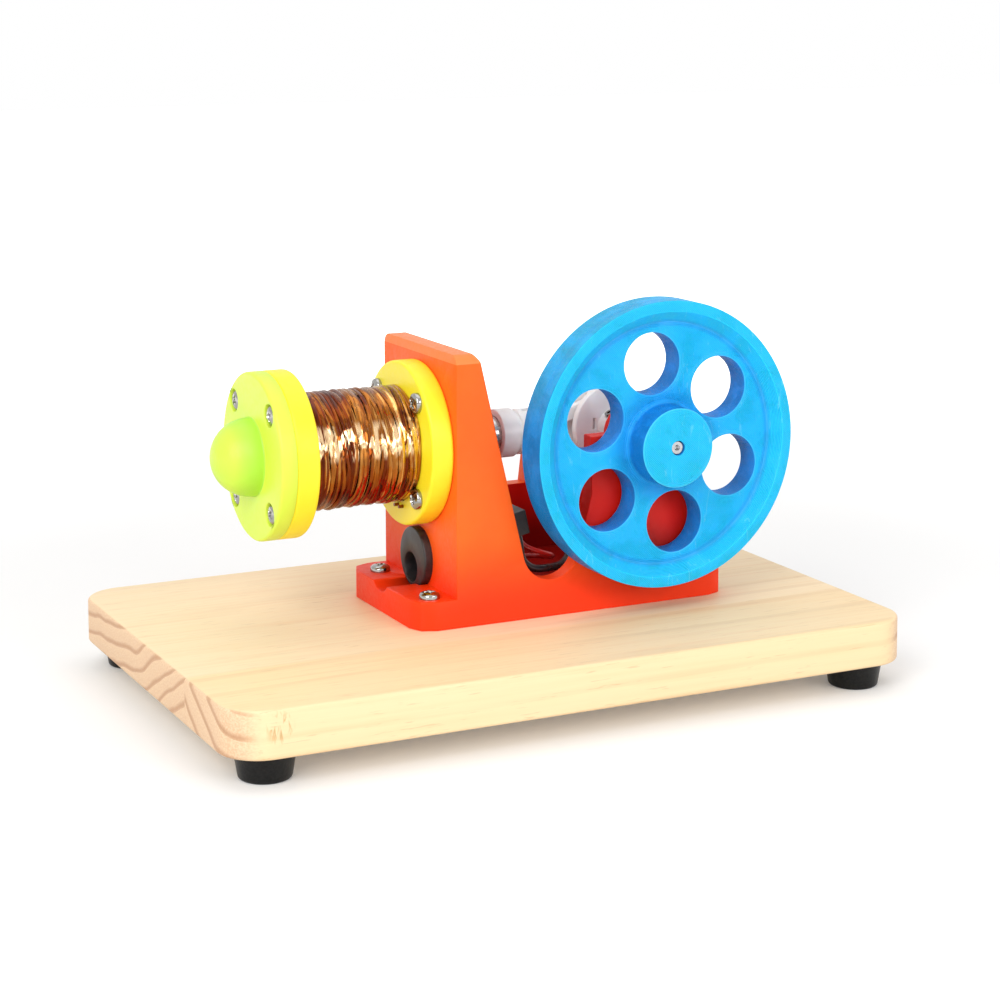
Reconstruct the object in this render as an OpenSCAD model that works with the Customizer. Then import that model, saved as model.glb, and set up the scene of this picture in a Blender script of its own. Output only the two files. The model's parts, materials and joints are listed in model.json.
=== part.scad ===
// Demonstration reciprocating electric motor on a wooden board.
// A coil pulls a steel plunger, a connecting rod turns a crank, and the crank turns a flywheel.
// +X runs along the board from the coil to the flywheel, +Y away from the flywheel, +Z up.
// The origin is under the middle of the board, on the surface that the feet stand on.

/* [Board] */
// Length of the wooden board
board_l = 200; // [160:1:260]
// Width of the wooden board
board_w = 130; // [110:1:180]
// Thickness of the wooden board
board_t = 12.6; // [8:0.2:20]
// Radius of the board's corners
board_corner_r = 11.5; // [6:0.5:18]
// Rounding of the board's upper and lower edges
board_edge_r = 1; // [0.5:0.1:2]

/* [Feet] */
// Height of a rubber foot
foot_h = 7.5; // [5:0.5:12]
// Radius of a foot where it meets the board
foot_top_r = 8; // [6:0.2:10]
// Radius of a foot where it meets the floor
foot_bottom_r = 6.8; // [5:0.2:8]
// Distance of a foot's centre from the board's end
foot_inset_x = 12.5; // [11:0.5:25]
// Distance of a foot's centre from the board's side
foot_inset_y = 11; // [11:0.5:20]

/* [Frame] */
// Length of the frame's base plate
frame_l = 97.8; // [92:0.2:112]
// Depth of the frame from its front wall to its rear wall
frame_d = 48.6; // [46:0.2:60]
// Height of the frame's base plate
base_t = 8.1; // [6:0.1:9]
// Distance from the board's left end to the frame's left end
frame_from_left = 69.8; // [60:0.2:80]
// Size of the cut corners of the base plate
corner_cut = 6; // [4:0.5:7]
// Distance from the base plate's left end to the tower
toe_l = 11.8; // [10:0.2:14]
// Height of the tower above the board
tower_h = 75.2; // [72:0.2:85]
// Thickness of the tower at its top
tower_top_t = 7.4; // [6:0.2:9]
// Thickness of the tower near its foot
tower_foot_t = 20.4; // [18:0.2:24]
// Radius of the tower's upper corners
tower_corner_r = 3; // [1:0.5:5]
// Thickness of the front and rear walls
wall_t = 5; // [4:0.2:6]
// Height of the bottom of the front notch above the board
notch_z = 10.5; // [9.5:0.1:14]
// Radius at the bottom of the front notch
notch_r = 8.8; // [7:0.1:9.4]
// Height of the bottom of the rear notch above the board
rear_notch_z = 28; // [22:0.5:30]
// Distance from the crank shaft back to the pedestals' left side
pedestal_back = 17.6; // [15:0.2:19]
// Distance from the crank shaft back to the foot of the rear pedestal's left side
rear_pedestal_back = 16.3; // [15:0.1:17.5]
// How far the rear pedestal's left side leans from its foot to its top
rear_lean = 2.7; // [0:0.1:4]
// Distance from the crank shaft forward to the end of the pedestals' flat top
pedestal_front = 9.2; // [8.8:0.2:12]
// Room between a right frame screw's head and the pedestal's foot
foot_room = 0.55; // [0.4:0.05:0.8]
// Height of the pedestals' flat top above the crank shaft
pedestal_rise = 1.7; // [1:0.1:3]
// Radius of the bearing bosses
boss_r = 8; // [7:0.2:8.6]
// Length of each bearing boss, wall included
boss_l = 11; // [9:0.2:12]

/* [Coil] */
// Height of the coil and crank shaft above the board
axis_z = 47.8; // [46:0.2:52]
// Radius of the bobbin's flanges
flange_r = 23; // [21:0.5:25]
// Thickness of each flange
flange_t = 6.5; // [4:0.1:7]
// Length of the winding between the flanges
winding_l = 32.3; // [32:0.1:40]
// Radius of the plain core of inner turns
winding_r = 15; // [12:0.2:15.4]
// Diameter of the wire of the outer turns
wire_d = 0.82; // [0.6:0.02:0.82]
// Number of outer turns
turns = 24; // [12:1:24]
// Outer radius of the bobbin's tube
bobbin_tube_r = 8; // [7:0.2:9]
// Thickness of the end cap
cap_t = 4.6; // [4.4:0.1:7]
// Radius of the domed nose on the end cap
nose_r = 10.7; // [9:0.1:11.5]
// Length of the straight part of the nose
nose_neck = 0.6; // [0.2:0.1:3]

/* [Plunger] */
// Radius of the steel plunger
plunger_r = 5; // [4:0.1:6]
// Length of the steel plunger
plunger_l = 56; // [48:0.5:58]
// Radius of the plunger's white head
head_r = 7; // [6.6:0.1:7.4]
// Length of the full part of the head
head_l = 5.2; // [5:0.1:7]
// Radius of the forked end of the head
fork_r = 6.5; // [6:0.1:6.8]
// Width of the groove round the head
groove_w = 1.3; // [0.8:0.1:2]
// Length of the forked end
fork_l = 8.9; // [8.5:0.1:10]
// Depth of the plunger's end in the head
head_socket = 4; // [3:0.1:4.5]
// Radius of the pin that joins the head to the connecting rod
wrist_pin_r = 1.25; // [1:0.05:1.5]

/* [Crank] */
// Distance from the frame's left end to the crank shaft
shaft_from_left = 71; // [69:0.2:73]
// Radius of the crank, which is half of the stroke
crank_r = 7.5; // [5:0.1:8]
// Angle of the crank pin at rest, from +X towards +Z
crank_angle = 100; // [80:1:110]
// Length of the connecting rod between its pins
rod_l = 24; // [23.6:0.1:26]
// Thickness of the connecting rod
rod_t = 3; // [2.4:0.1:3.4]
// Outer radius of the connecting rod's crank end
rod_big_r = 4.4; // [4:0.1:4.8]
// Outer radius of the connecting rod's plunger end
rod_small_r = 3.2; // [2.8:0.1:3.4]
// Thickness of the connecting rod's bar
rod_bar_t = 2.4; // [1.8:0.1:2.8]
// Width of the connecting rod's bar
rod_bar_w = 3.6; // [3:0.1:4.4]
// Radius of the crank pin
crank_pin_r = 1.5; // [1.2:0.05:2]
// Radius of the crank discs
disc_r = 12; // [10:0.1:12.4]
// Thickness of each crank disc
disc_t = 2.4; // [2:0.1:3]
// Radius of the hubs of the crank discs
hub_r = 4.8; // [4:0.1:5.4]
// Radius of the crank shaft
shaft_r = 2; // [1.6:0.05:2.2]
// Outer radius of the bushes
bush_r = 4; // [3.6:0.1:4.6]
// Thickness of the bushes' flanges
bush_flange_t = 1; // [0.8:0.1:1.4]
// Thickness of the washers beside the walls
washer_t = 0.9; // [0.6:0.1:1.2]

/* [Flywheel] */
// Radius of the flywheel
wheel_r = 40.2; // [36:0.2:42]
// Width of the flywheel's rim
wheel_w = 10.9; // [9:0.1:14]
// Width of the flat ring on the front of the rim
rim_w = 3; // [2:0.1:4]
// Depth of the sloped recess in the flywheel's front
recess_d = 3.2; // [2:0.1:4]
// Radius of the flywheel's boss
wheel_boss_r = 11.1; // [9:0.1:12]
// Distance that the boss stands out from the rim
wheel_boss_out = 5; // [3:0.1:8]
// Number of lightening holes
wheel_holes = 6; // [3:1:6]
// Radius of each lightening hole
wheel_hole_r = 8.7; // [6:0.1:8.8]
// Radius of the circle of lightening holes
wheel_hole_pcr = 22.8; // [21.4:0.1:23.4]
// Angle of the first lightening hole at rest
wheel_hole_angle = 39.3; // [0:0.1:60]

/* [Power socket] */
// Radius of the socket's black bezel
bezel_r = 8.6; // [8.4:0.1:9]
// Thickness of the bezel
bezel_t = 2.4; // [1.6:0.1:3]
// Radius of the plug hole
plug_r = 4.2; // [3.4:0.1:4.4]
// Height of the bezel's centre above the board
bezel_z = 14.9; // [14.6:0.1:15]
// Distance of the plug hole from the bezel's centre
plug_offset = 3.4; // [3:0.1:3.5]
// Radius of the socket's centre pin
socket_pin_r = 1.05; // [0.8:0.05:1.3]
// Wall of the socket's body
socket_wall = 1.5; // [1.2:0.1:1.7]

/* [Small parts] */
// Radius of a screw's shank
screw_r = 1.5; // [1.2:0.05:1.6]
// Radius of a screw's head
screw_head_r = 2.85; // [2.4:0.05:3]
// Height of a screw's head
screw_head_h = 1.9; // [1.4:0.1:2.2]
// Diameter of the insulated leads
lead_d = 1.5; // [1.2:0.1:1.8]
// Diameter of the sensor's lead, which has two cores
sensor_lead_d = 2.2; // [1.6:0.1:2.4]
// Diameter of the coil's leads
coil_lead_d = 1; // [0.8:0.1:1.2]
// Gap between pieces that move past each other
gap = 0.3; // [0.3:0.05:0.5]
// Radial clearance of a shaft in its bush and of the plunger in its bore
fit = 0.05; // [0.02:0.01:0.1]

/* [Hidden] */
$fn = 96;
hull_fn = 32;
eps = 0.01;

deck_z = foot_h + board_t;
frame_x = frame_from_left - board_l / 2;
tower_x = frame_x + toe_l;
shaft_x = frame_x + shaft_from_left;
axis_y = 4.8;
front_y = axis_y - frame_d / 2;
rear_y = axis_y + frame_d / 2;

// The tower's sloped right face: from its top corner down to where the notch begins.
tower_top_x = tower_x + tower_top_t;
tower_foot_x = tower_x + tower_foot_t;
slope_top_z = tower_h - 2.2;
slope_foot_z = notch_z + 6.4;
slope = (tower_foot_x - tower_top_x) / (slope_top_z - slope_foot_z);
function slope_x(z) = tower_top_x + (slope_top_z - z) * slope;
slope_angle = atan(slope);

notch_x = tower_foot_x + notch_r - 0.1;
pedestal_x = shaft_x - pedestal_back;
right_screw_x = frame_x + frame_l - 4.2;
pedestal_z = axis_z + pedestal_rise;

// The coil stands on the tower's left face and points along -X.
right_flange_x = tower_x - flange_t;
winding_x = right_flange_x - winding_l;
left_flange_x = winding_x - flange_t;
cap_x = left_flange_x - cap_t;
bore_r = plunger_r + fit;
// Coil screws sit midway between the outer turns and the flange's edge.
outer_turn_r = winding_r + 0.17 + wire_d / 2;
coil_screw_r = flange_r - screw_head_r - 1.3;
screw_hole_r = screw_r + fit;

// The crank at rest: the rod's pins and the travel to each dead centre.
pin_x = shaft_x + crank_r * cos(crank_angle);
pin_z = axis_z + crank_r * sin(crank_angle);
rod_drop = asin(crank_r * sin(crank_angle) / rod_l);
wrist_x = pin_x - rod_l * cos(rod_drop);
travel_out = shaft_x + crank_r - rod_l - wrist_x;
travel_in = wrist_x - (shaft_x - crank_r - rod_l);
swing_max = asin(crank_r / rod_l);

fork_end_x = wrist_x + rod_small_r + gap;
fork_x = fork_end_x - fork_l;
groove_x = fork_x - groove_w;
head_x = groove_x - head_l;
slot_x = wrist_x - rod_small_r - gap;
core_x = head_x + head_socket - plunger_l;
tower_bore_r = head_r + gap;

rod_front_y = axis_y - rod_t / 2;
rod_rear_y = axis_y + rod_t / 2;
front_disc_y = rod_front_y - 0.4 - disc_t;
rear_disc_y = rod_rear_y + 0.4;
front_boss_end = front_y + boss_l;
rear_boss_end = rear_y - boss_l;
wheel_rear_y = front_y - washer_t - 2 * 0.15;
wheel_front_y = wheel_rear_y - wheel_w;
wheel_face_y = wheel_front_y - wheel_boss_out;
shaft_bore_r = shaft_r + fit;
hole_fn = 64;

socket_y = axis_y;
plug_y = socket_y + plug_offset * cos(-68);
plug_z = bezel_z + plug_offset * sin(-68);
socket_r = plug_r + socket_wall;
socket_end_x = tower_x + 25;
plug_depth = 14;
pin_seat_l = 3;

// The sensor stands behind the rear crank disc and faces the magnet that passes it.
magnet_pcr = disc_r - 3.2;
sensor_y = rear_disc_y + disc_t + 0.8;
sensor_w = 5;
sensor_d = 3;
sensor_h = 6;
sensor_z = axis_z - magnet_pcr - sensor_h / 2;
post_t = 4;

// The black driver block lies on the tower's sloped face beside the front wall.
driver_z = 21.5;
driver_h = 7;
driver_d = 9;
driver_t = 6;
driver_y = front_y + wall_t + gap;

// ---- Helpers ----

// Moves its children up onto the board.
module on_deck() {
    translate([0, 0, deck_z]) children();
}

// A round bar along +X from x to x + l, centred on y and z.
module bar_x(x, y, z, l, r) {
    translate([x, y, z]) rotate([0, 90, 0]) cylinder(h = l, r = r);
}

// A round bar along +Y from y to y + l, centred on x and z.
module bar_y(x, y, z, l, r) {
    translate([x, y, z]) rotate([-90, 0, 0]) cylinder(h = l, r = r);
}

// An outline in X and Z, extruded along +Y from y to y + l.
module slab_y(y, l) {
    translate([0, y + l, 0]) rotate([90, 0, 0]) linear_extrude(l) children();
}

// Points of an arc in X and Z from angle a0 to a1.
function arc(cx, cz, r, a0, a1, n) = [for (i = [0:n]) [
    cx + r * cos(a0 + (a1 - a0) * i / n),
    cz + r * sin(a0 + (a1 - a0) * i / n)
]];

// A pan head screw: the head's seat is at z = 0, the head rises along +Z and the shank goes down.
module pan_screw(l) {
    crown = screw_head_h * 0.45;
    dome_r = (screw_head_r * screw_head_r + crown * crown) / (2 * crown);
    difference() {
        union() {
            cylinder(h = screw_head_h - crown, r = screw_head_r);
            translate([0, 0, screw_head_h - crown])
                rotate_extrude()
                    intersection() {
                        translate([0, crown - dome_r]) circle(r = dome_r);
                        square([screw_head_r, crown]);
                    }
            translate([0, 0, -l]) cylinder(h = l + eps, r = screw_r);
        }
        for (a = [45, 135])
            rotate([0, 0, a])
                translate([-screw_head_r * 0.55, -0.3, screw_head_h * 0.45])
                    cube([screw_head_r * 1.1, 0.6, screw_head_h]);
    }
}

// Places its children at the four coil screws, with +Z pointing to -X.
module at_coil_screws(x) {
    for (a = [45, 135, 225, 315])
        translate([x, axis_y + coil_screw_r * cos(a), axis_z + coil_screw_r * sin(a)])
            rotate([0, -90, 0]) children();
}

// The frame's four hold-down screws, as places on the base plate.
frame_screw_spots = [
    for (x = [frame_x + 5.8, right_screw_x], y = [front_y + 5, rear_y - 10]) [x, y]
];

// ---- Tubes swept along a list of points ----

function unit(v) = v / norm(v);
function tangent(p, i) =
    let (a = p[max(i - 1, 0)], b = p[i], c = p[min(i + 1, len(p) - 1)])
    i == 0 ? unit(c - b) : i == len(p) - 1 ? unit(b - a) : unit(unit(b - a) + unit(c - b));
function carried(n, t) = unit(n - (n * t) * t);
function any_normal(t) = carried(abs(t[2]) < 0.8 ? [0, 0, 1] : [0, 1, 0], t);
function normals(p) = [
    for (i = 0, n = any_normal(tangent(p, 0)); i < len(p);
         i = i + 1, n = i < len(p) ? carried(n, tangent(p, i)) : n) n
];
function ring(c, n, b, r, sides) = [
    for (k = [0:sides - 1]) c + r * (cos(360 * k / sides) * n + sin(360 * k / sides) * b)
];
module tube(p, d, sides) {
    m = len(p);
    n = normals(p);
    points = [for (i = [0:m - 1]) each ring(p[i], n[i], cross(tangent(p, i), n[i]), d / 2, sides)];
    walls = [
        for (i = [0:m - 2], k = [0:sides - 1])
            let (a = i * sides + k, b = i * sides + (k + 1) % sides)
            each [[a, a + sides, b], [b, a + sides, b + sides]]
    ];
    first = [for (k = [1:sides - 2]) [0, k, k + 1]];
    last = [for (k = [1:sides - 2]) [(m - 1) * sides, (m - 1) * sides + k + 1, (m - 1) * sides + k]];
    polyhedron(points = points, faces = concat(walls, first, last), convexity = 10);
}

// A smooth route through points chosen by hand, with steps points on each stretch.
function smooth_route(q, steps) = concat([q[0]], [
    for (i = [0:len(q) - 2], s = [1:steps])
        let (a = q[max(i - 1, 0)], b = q[i], c = q[i + 1], d = q[min(i + 2, len(q) - 1)], t = s / steps)
        0.5 * (2 * b + (c - a) * t + (2 * a - 5 * b + 4 * c - d) * t * t
            + (3 * b - a - 3 * c + d) * t * t * t)
]);

// ---- Board and feet ----

module base_board() {
    color("burlywood")
        translate([0, 0, foot_h])
            difference() {
                hull()
                    for (x = [-1, 1], y = [-1, 1])
                        translate([x * (board_l / 2 - board_corner_r), y * (board_w / 2 - board_corner_r), 0])
                            rotate_extrude($fn = hull_fn) board_corner();
                for (s = frame_screw_spots)
                    translate([s[0], s[1], board_t - 9]) cylinder(h = 10, r = screw_hole_r);
                for (x = [-1, 1], y = [-1, 1])
                    translate([x * (board_l / 2 - foot_inset_x), y * (board_w / 2 - foot_inset_y), -1])
                        cylinder(h = 8, r = screw_hole_r);
            }
}

// Half of a board corner's section, with its two edges rounded.
module board_corner() {
    r = board_corner_r;
    e = board_edge_r;
    polygon(concat(
        [[0, 0]],
        arc(r - e, e, e, -90, 0, 4),
        arc(r - e, board_t - e, e, 0, 90, 4),
        [[0, board_t]]
    ));
}

module rubber_foot(x, y) {
    lip = 0.8;
    color([0.1, 0.1, 0.1])
        translate([x * (board_l / 2 - foot_inset_x), y * (board_w / 2 - foot_inset_y), 0])
            rotate_extrude()
                difference() {
                    polygon(concat(
                        [[0, 0]],
                        arc(foot_bottom_r - lip, lip, lip, -90, -9, 5),
                        [[foot_top_r, foot_h - 0.6], [foot_top_r, foot_h], [0, foot_h]]
                    ));
                    square([screw_head_r + gap, 2.6]);
                    square([screw_hole_r, foot_h + 1]);
                }
}
module rubber_foot_front_left() { rubber_foot(-1, -1); }
module rubber_foot_front_right() { rubber_foot(1, -1); }
module rubber_foot_rear_left() { rubber_foot(-1, 1); }
module rubber_foot_rear_right() { rubber_foot(1, 1); }

module foot_screws() {
    color("silver")
        for (x = [-1, 1], y = [-1, 1])
            translate([x * (board_l / 2 - foot_inset_x), y * (board_w / 2 - foot_inset_y), 2.6])
                mirror([0, 0, 1]) pan_screw(foot_h - 2.6 + 5);
}

// ---- Frame ----

// Outline of the tower, with its sloped right face.
module tower_outline() {
    polygon([
        [tower_x, base_t - 1], [slope_x(base_t - 1), base_t - 1], [tower_top_x, slope_top_z],
        [tower_top_x - 1.6, tower_h], [tower_x, tower_h]
    ]);
}

// Outline of one side wall: the web between tower and pedestal, and the pedestal itself.
module wall_outline() {
    foot_x = right_screw_x - screw_head_r - foot_room;
    difference() {
        polygon([
            [tower_x + 3, base_t - 1], [foot_x, base_t - 1], [foot_x, base_t],
            [shaft_x + pedestal_front, pedestal_z], [tower_x + 3, pedestal_z]
        ]);
        children();
    }
}

// The front notch has a round bottom.
module front_notch() {
    polygon(concat(
        [[slope_x(pedestal_z + 1), pedestal_z + 1]],
        arc(notch_x, notch_z + notch_r, notch_r, 180 + slope_angle, 360, 24),
        [[pedestal_x, notch_z + notch_r + 14], [pedestal_x, pedestal_z + 1]]
    ));
}

// The rear notch is higher and flat, and its right side leans away.
module rear_notch() {
    polygon([
        [slope_x(pedestal_z + 1), pedestal_z + 1], [slope_x(rear_notch_z), rear_notch_z],
        [shaft_x - rear_pedestal_back, rear_notch_z],
        [shaft_x - rear_pedestal_back + rear_lean, pedestal_z + 1]
    ]);
}

// The upper corners of the tower are rounded as seen along X.
module tower_envelope() {
    r = tower_corner_r;
    translate([tower_x - 1, 0, 0]) rotate([90, 0, 90])
        linear_extrude(tower_foot_t + 8) {
            translate([front_y, 0]) square([frame_d, tower_h - r]);
            translate([front_y + r, 0]) square([frame_d - 2 * r, tower_h]);
            for (y = [front_y + r, rear_y - r]) translate([y, tower_h - r]) circle(r = r);
        }
}

// Outline of the base plate, with facets at its four corners.
module base_outline() {
    x1 = frame_x + frame_l;
    c = corner_cut;
    m = c * (1 - cos(45));
    polygon([
        [frame_x, front_y + c], [frame_x + m, front_y + m], [frame_x + c, front_y],
        [x1 - c, front_y], [x1 - m, front_y + m], [x1, front_y + c],
        [x1, rear_y - c], [x1 - m, rear_y - m], [x1 - c, rear_y],
        [frame_x + c, rear_y], [frame_x + m, rear_y - m], [frame_x, rear_y - c]
    ]);
}

// The post behind the rear crank disc that carries the sensor.
module sensor_post() {
    translate([sensor_post_x, sensor_y, base_t - 1])
        cube([sensor_w + 3, post_t + sensor_d, sensor_z - base_t + 1]);
    translate([sensor_post_x, sensor_y + sensor_d, base_t - 1])
        cube([sensor_w + 3, post_t, sensor_z + 3 - base_t + 1]);
}

module frame() {
    color("orangered")
        on_deck()
            difference() {
                union() {
                    linear_extrude(base_t) base_outline();
                    intersection() {
                        slab_y(front_y, frame_d) tower_outline();
                        tower_envelope();
                    }
                    slab_y(front_y, wall_t) wall_outline() front_notch();
                    slab_y(rear_y - wall_t, wall_t) wall_outline() rear_notch();
                    bar_y(shaft_x, front_y, axis_z, boss_l, boss_r);
                    bar_y(shaft_x, rear_boss_end, axis_z, boss_l, boss_r);
                    sensor_post();
                }
                frame_cuts();
            }
}

// Everything that is bored or cut out of the frame.
module frame_cuts() {
    bar_y(shaft_x, front_y - 1, axis_z, frame_d + 2, bush_r);
    bar_x(tower_x - 1, axis_y, axis_z, 24, tower_bore_r);
    bar_x(tower_x - 1, plug_y, plug_z, tower_foot_t + 12, socket_r);
    bar_x(frame_x - 1, plug_y, plug_z, toe_l + 1, socket_r + 0.2);
    bar_x(tower_x - bezel_t - gap, socket_y, bezel_z, bezel_t + gap, bezel_r + fit);
    for (s = frame_screw_spots)
        translate([s[0], s[1], -1]) cylinder(h = base_t + 2, r = screw_hole_r);
    at_coil_screws(tower_x + 7) cylinder(h = 8, r = screw_hole_r, $fn = hole_fn);
    for (y = coil_lead_ys)
        bar_x(tower_x - 1, y, coil_lead_z, tower_foot_t + 9, coil_lead_d / 2 + 0.2, $fn = hole_fn);
}

module frame_screws() {
    color("silver")
        on_deck()
            for (s = frame_screw_spots)
                translate([s[0], s[1], base_t]) pan_screw(base_t + 7);
}

// ---- Coil ----

module bobbin() {
    color("gold")
        on_deck()
            difference() {
                union() {
                    bar_x(left_flange_x, axis_y, axis_z, flange_t, flange_r);
                    bar_x(right_flange_x, axis_y, axis_z, flange_t, flange_r);
                    bar_x(left_flange_x, axis_y, axis_z, flange_t * 2 + winding_l, bobbin_tube_r);
                }
                bar_x(left_flange_x - 1, axis_y, axis_z, flange_t * 2 + winding_l + 2, bore_r);
                at_coil_screws(winding_x + 1) cylinder(h = flange_t + 2, r = screw_hole_r);
                at_coil_screws(tower_x + 1) cylinder(h = flange_t + 2, r = screw_hole_r);
                for (y = coil_lead_ys)
                    bar_x(right_flange_x - 1, y, coil_lead_z, flange_t + 2, coil_lead_d / 2 + 0.2);
            }
}

module winding_core() {
    color("sienna")
        on_deck()
            difference() {
                bar_x(winding_x, axis_y, axis_z, winding_l, winding_r);
                bar_x(winding_x - 1, axis_y, axis_z, winding_l + 2, bobbin_tube_r);
            }
}

// The outer turns: a helix whose two ends run straight into the flanges.
loop_rings = 24;
turn_lead = 1.6 * wire_d;
turn_pitch = (winding_l - 2 * turn_lead) / turns;
function winding_point(x, a) = [x, axis_y + outer_turn_r * cos(a), axis_z + outer_turn_r * sin(a)];
winding_path = concat(
    [winding_point(winding_x, 0), winding_point(winding_x + wire_d, 0)],
    [for (i = [1:turns * loop_rings - 1])
        winding_point(winding_x + turn_lead + turn_pitch * i / loop_rings, 360 * i / loop_rings)],
    [winding_point(right_flange_x - wire_d, 0), winding_point(right_flange_x, 0)]
);
winding_gap = min([
    for (i = [0:len(winding_path) - 1 - loop_rings / 2],
         j = [i + loop_rings / 2:min(i + loop_rings * 3 / 2, len(winding_path) - 1)])
        norm(winding_path[i] - winding_path[j])
]) - wire_d;

module winding() {
    echo(winding_gap_mm = winding_gap);
    color("chocolate") on_deck() tube(winding_path, wire_d, 6);
}

module end_cap() {
    color("greenyellow")
        on_deck()
            difference() {
                union() {
                    bar_x(cap_x, axis_y, axis_z, cap_t, flange_r);
                    bar_x(cap_x - nose_neck, axis_y, axis_z, nose_neck + eps, nose_r);
                    translate([cap_x - nose_neck, axis_y, axis_z]) rotate([0, -90, 0])
                        rotate_extrude()
                            intersection() {
                                circle(r = nose_r);
                                square([nose_r, nose_r]);
                            }
                }
                bar_x(cap_x - 1, axis_y, axis_z, cap_t + 2, bore_r + 1);
                at_coil_screws(cap_x + cap_t + 1) cylinder(h = cap_t + 2, r = screw_hole_r);
                at_coil_screws(cap_x + screw_head_h) cylinder(h = screw_head_h + 1, r = screw_head_r + gap);
            }
}

module end_cap_screws() {
    color("silver")
        on_deck() at_coil_screws(cap_x + screw_head_h) pan_screw(cap_t - screw_head_h + flange_t - 0.6);
}

module bobbin_screws() {
    color("silver")
        on_deck() at_coil_screws(right_flange_x) pan_screw(flange_t + 6);
}

// The coil's two ends pass under the winding, through the flange and the tower, to the driver block.
coil_lead_z = axis_z - winding_r - wire_d - 1.6;
coil_lead_ys = [axis_y - 3, axis_y];
function coil_lead_route(y, end_y, u) = concat(
    [[right_flange_x - 1.4, y, coil_lead_z], [tower_x, y, coil_lead_z]],
    smooth_route([
        [slope_x(coil_lead_z) + 0.2, y, coil_lead_z], [slope_x(coil_lead_z) + u, y, coil_lead_z],
        [slope_x(coil_lead_z) + u + 1.6, (y + end_y) / 2, coil_lead_z + 1],
        driver_spot(u + 0.4, driver_h + 1.2, end_y)
    ], 4),
    [driver_spot(u + 0.4, driver_h, end_y)]
);
module coil_lead(i) {
    color("saddlebrown")
        on_deck()
            tube(coil_lead_route(coil_lead_ys[i], driver_y + 2.5 + 4 * i, 1.4 + 2.4 * i), coil_lead_d, 8);
}
module coil_lead_inner() { coil_lead(0); }
module coil_lead_outer() { coil_lead(1); }

// ---- Power socket, driver and leads ----

module socket_bezel() {
    color([0.12, 0.12, 0.13])
        on_deck()
            difference() {
                bar_x(tower_x - bezel_t, socket_y, bezel_z, bezel_t, bezel_r);
                bar_x(tower_x - bezel_t - 1, plug_y, plug_z, bezel_t + 2, plug_r);
            }
}

module socket_body() {
    color([0.08, 0.08, 0.08])
        on_deck()
            difference() {
                bar_x(tower_x, plug_y, plug_z, socket_end_x - tower_x, socket_r - fit);
                bar_x(tower_x - 1, plug_y, plug_z, plug_depth + 1, plug_r);
                bar_x(tower_x, plug_y, plug_z, plug_depth + pin_seat_l, socket_pin_r);
            }
}

module socket_pin() {
    color("silver")
        on_deck() {
            bar_x(tower_x + plug_depth / 2, plug_y, plug_z, plug_depth / 2 + pin_seat_l, socket_pin_r - 0.02);
            translate([tower_x + plug_depth / 2, plug_y, plug_z]) sphere(r = socket_pin_r - 0.02);
        }
}

terminal_l = 4;
terminal_w = 2;
terminal_t = 0.6;
module socket_terminals() {
    color("silver")
        on_deck()
            for (y = terminal_ys)
                translate([socket_end_x, y - terminal_w / 2, plug_z - terminal_t / 2])
                    cube([terminal_l, terminal_w, terminal_t]);
}

// A place on the driver block, counted along its thickness and its height.
function driver_spot(u, w, y) = [
    slope_x(driver_z) + u * cos(slope_angle) - w * sin(slope_angle),
    y,
    driver_z + u * sin(slope_angle) + w * cos(slope_angle)
];
terminal_ys = [plug_y - 3, plug_y + 3];
terminal_end_x = socket_end_x + terminal_l;
sensor_post_x = shaft_x - sensor_w / 2 - 1.5;
sensor_lead_y = sensor_y + sensor_d + post_t / 2;

// Routes of the insulated leads, chosen by hand, as places above the board.
red_route = concat(
    [driver_spot(4.6, 0, -7)],
    smooth_route([
        driver_spot(4.6, -lead_d, -7), [8.5, -7.4, 17.5], [13.5, -7.6, 15.2], [17.6, -6, 13.6],
        [19.2, -2.6, 12.2], [17.6, 1.6, 11.6], [14.4, plug_y - 3, plug_z], [terminal_end_x + lead_d, plug_y - 3, plug_z]
    ], 4),
    [[terminal_end_x, terminal_ys[0], plug_z]]
);
ground_route = concat(
    [driver_spot(1.6, 0, -7)],
    smooth_route([
        driver_spot(1.6, -lead_d, -7), [4, -6, 15], [6.6, -3, 11.4], [10, 1, 9.6], [14, 6, 9.6],
        [15.4, 8.6, 10.8], [terminal_end_x + lead_d, plug_y + 3, plug_z]
    ], 4),
    [[terminal_end_x, terminal_ys[1], plug_z]]
);
sensor_route = concat(
    [driver_spot(3, 0, -12)],
    smooth_route([
        driver_spot(3, -sensor_lead_d, -12), [5.4, -11.8, 15], [8.6, -11.6, 12.2], [13, -11.4, 11.6],
        [18, -10.4, 11.8], [22.4, -7, 13.4], [26, 0, 15.4], [29, 8, 17], [32, 13.2, 19.2],
        [sensor_post_x - sensor_lead_d, sensor_lead_y, 20.4]
    ], 4),
    [[sensor_post_x, sensor_lead_y, 20.4]]
);
module red_lead() {
    color("red") on_deck() tube(red_route, lead_d, 8);
}
module ground_lead() {
    color([0.1, 0.1, 0.1]) on_deck() tube(ground_route, lead_d, 8);
}
module sensor_lead() {
    color([0.1, 0.1, 0.1]) on_deck() tube(sensor_route, sensor_lead_d, 8);
}

module driver_module() {
    color([0.1, 0.1, 0.1])
        on_deck()
            translate([slope_x(driver_z), driver_y, driver_z])
                rotate([0, -slope_angle, 0])
                    cube([driver_t, driver_d, driver_h]);
}

module timing_sensor() {
    color([0.1, 0.1, 0.1])
        on_deck()
            translate([shaft_x - sensor_w / 2, sensor_y, sensor_z])
                cube([sensor_w, sensor_d, sensor_h]);
}

// ---- Shaft, bushes and crank ----

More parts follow.
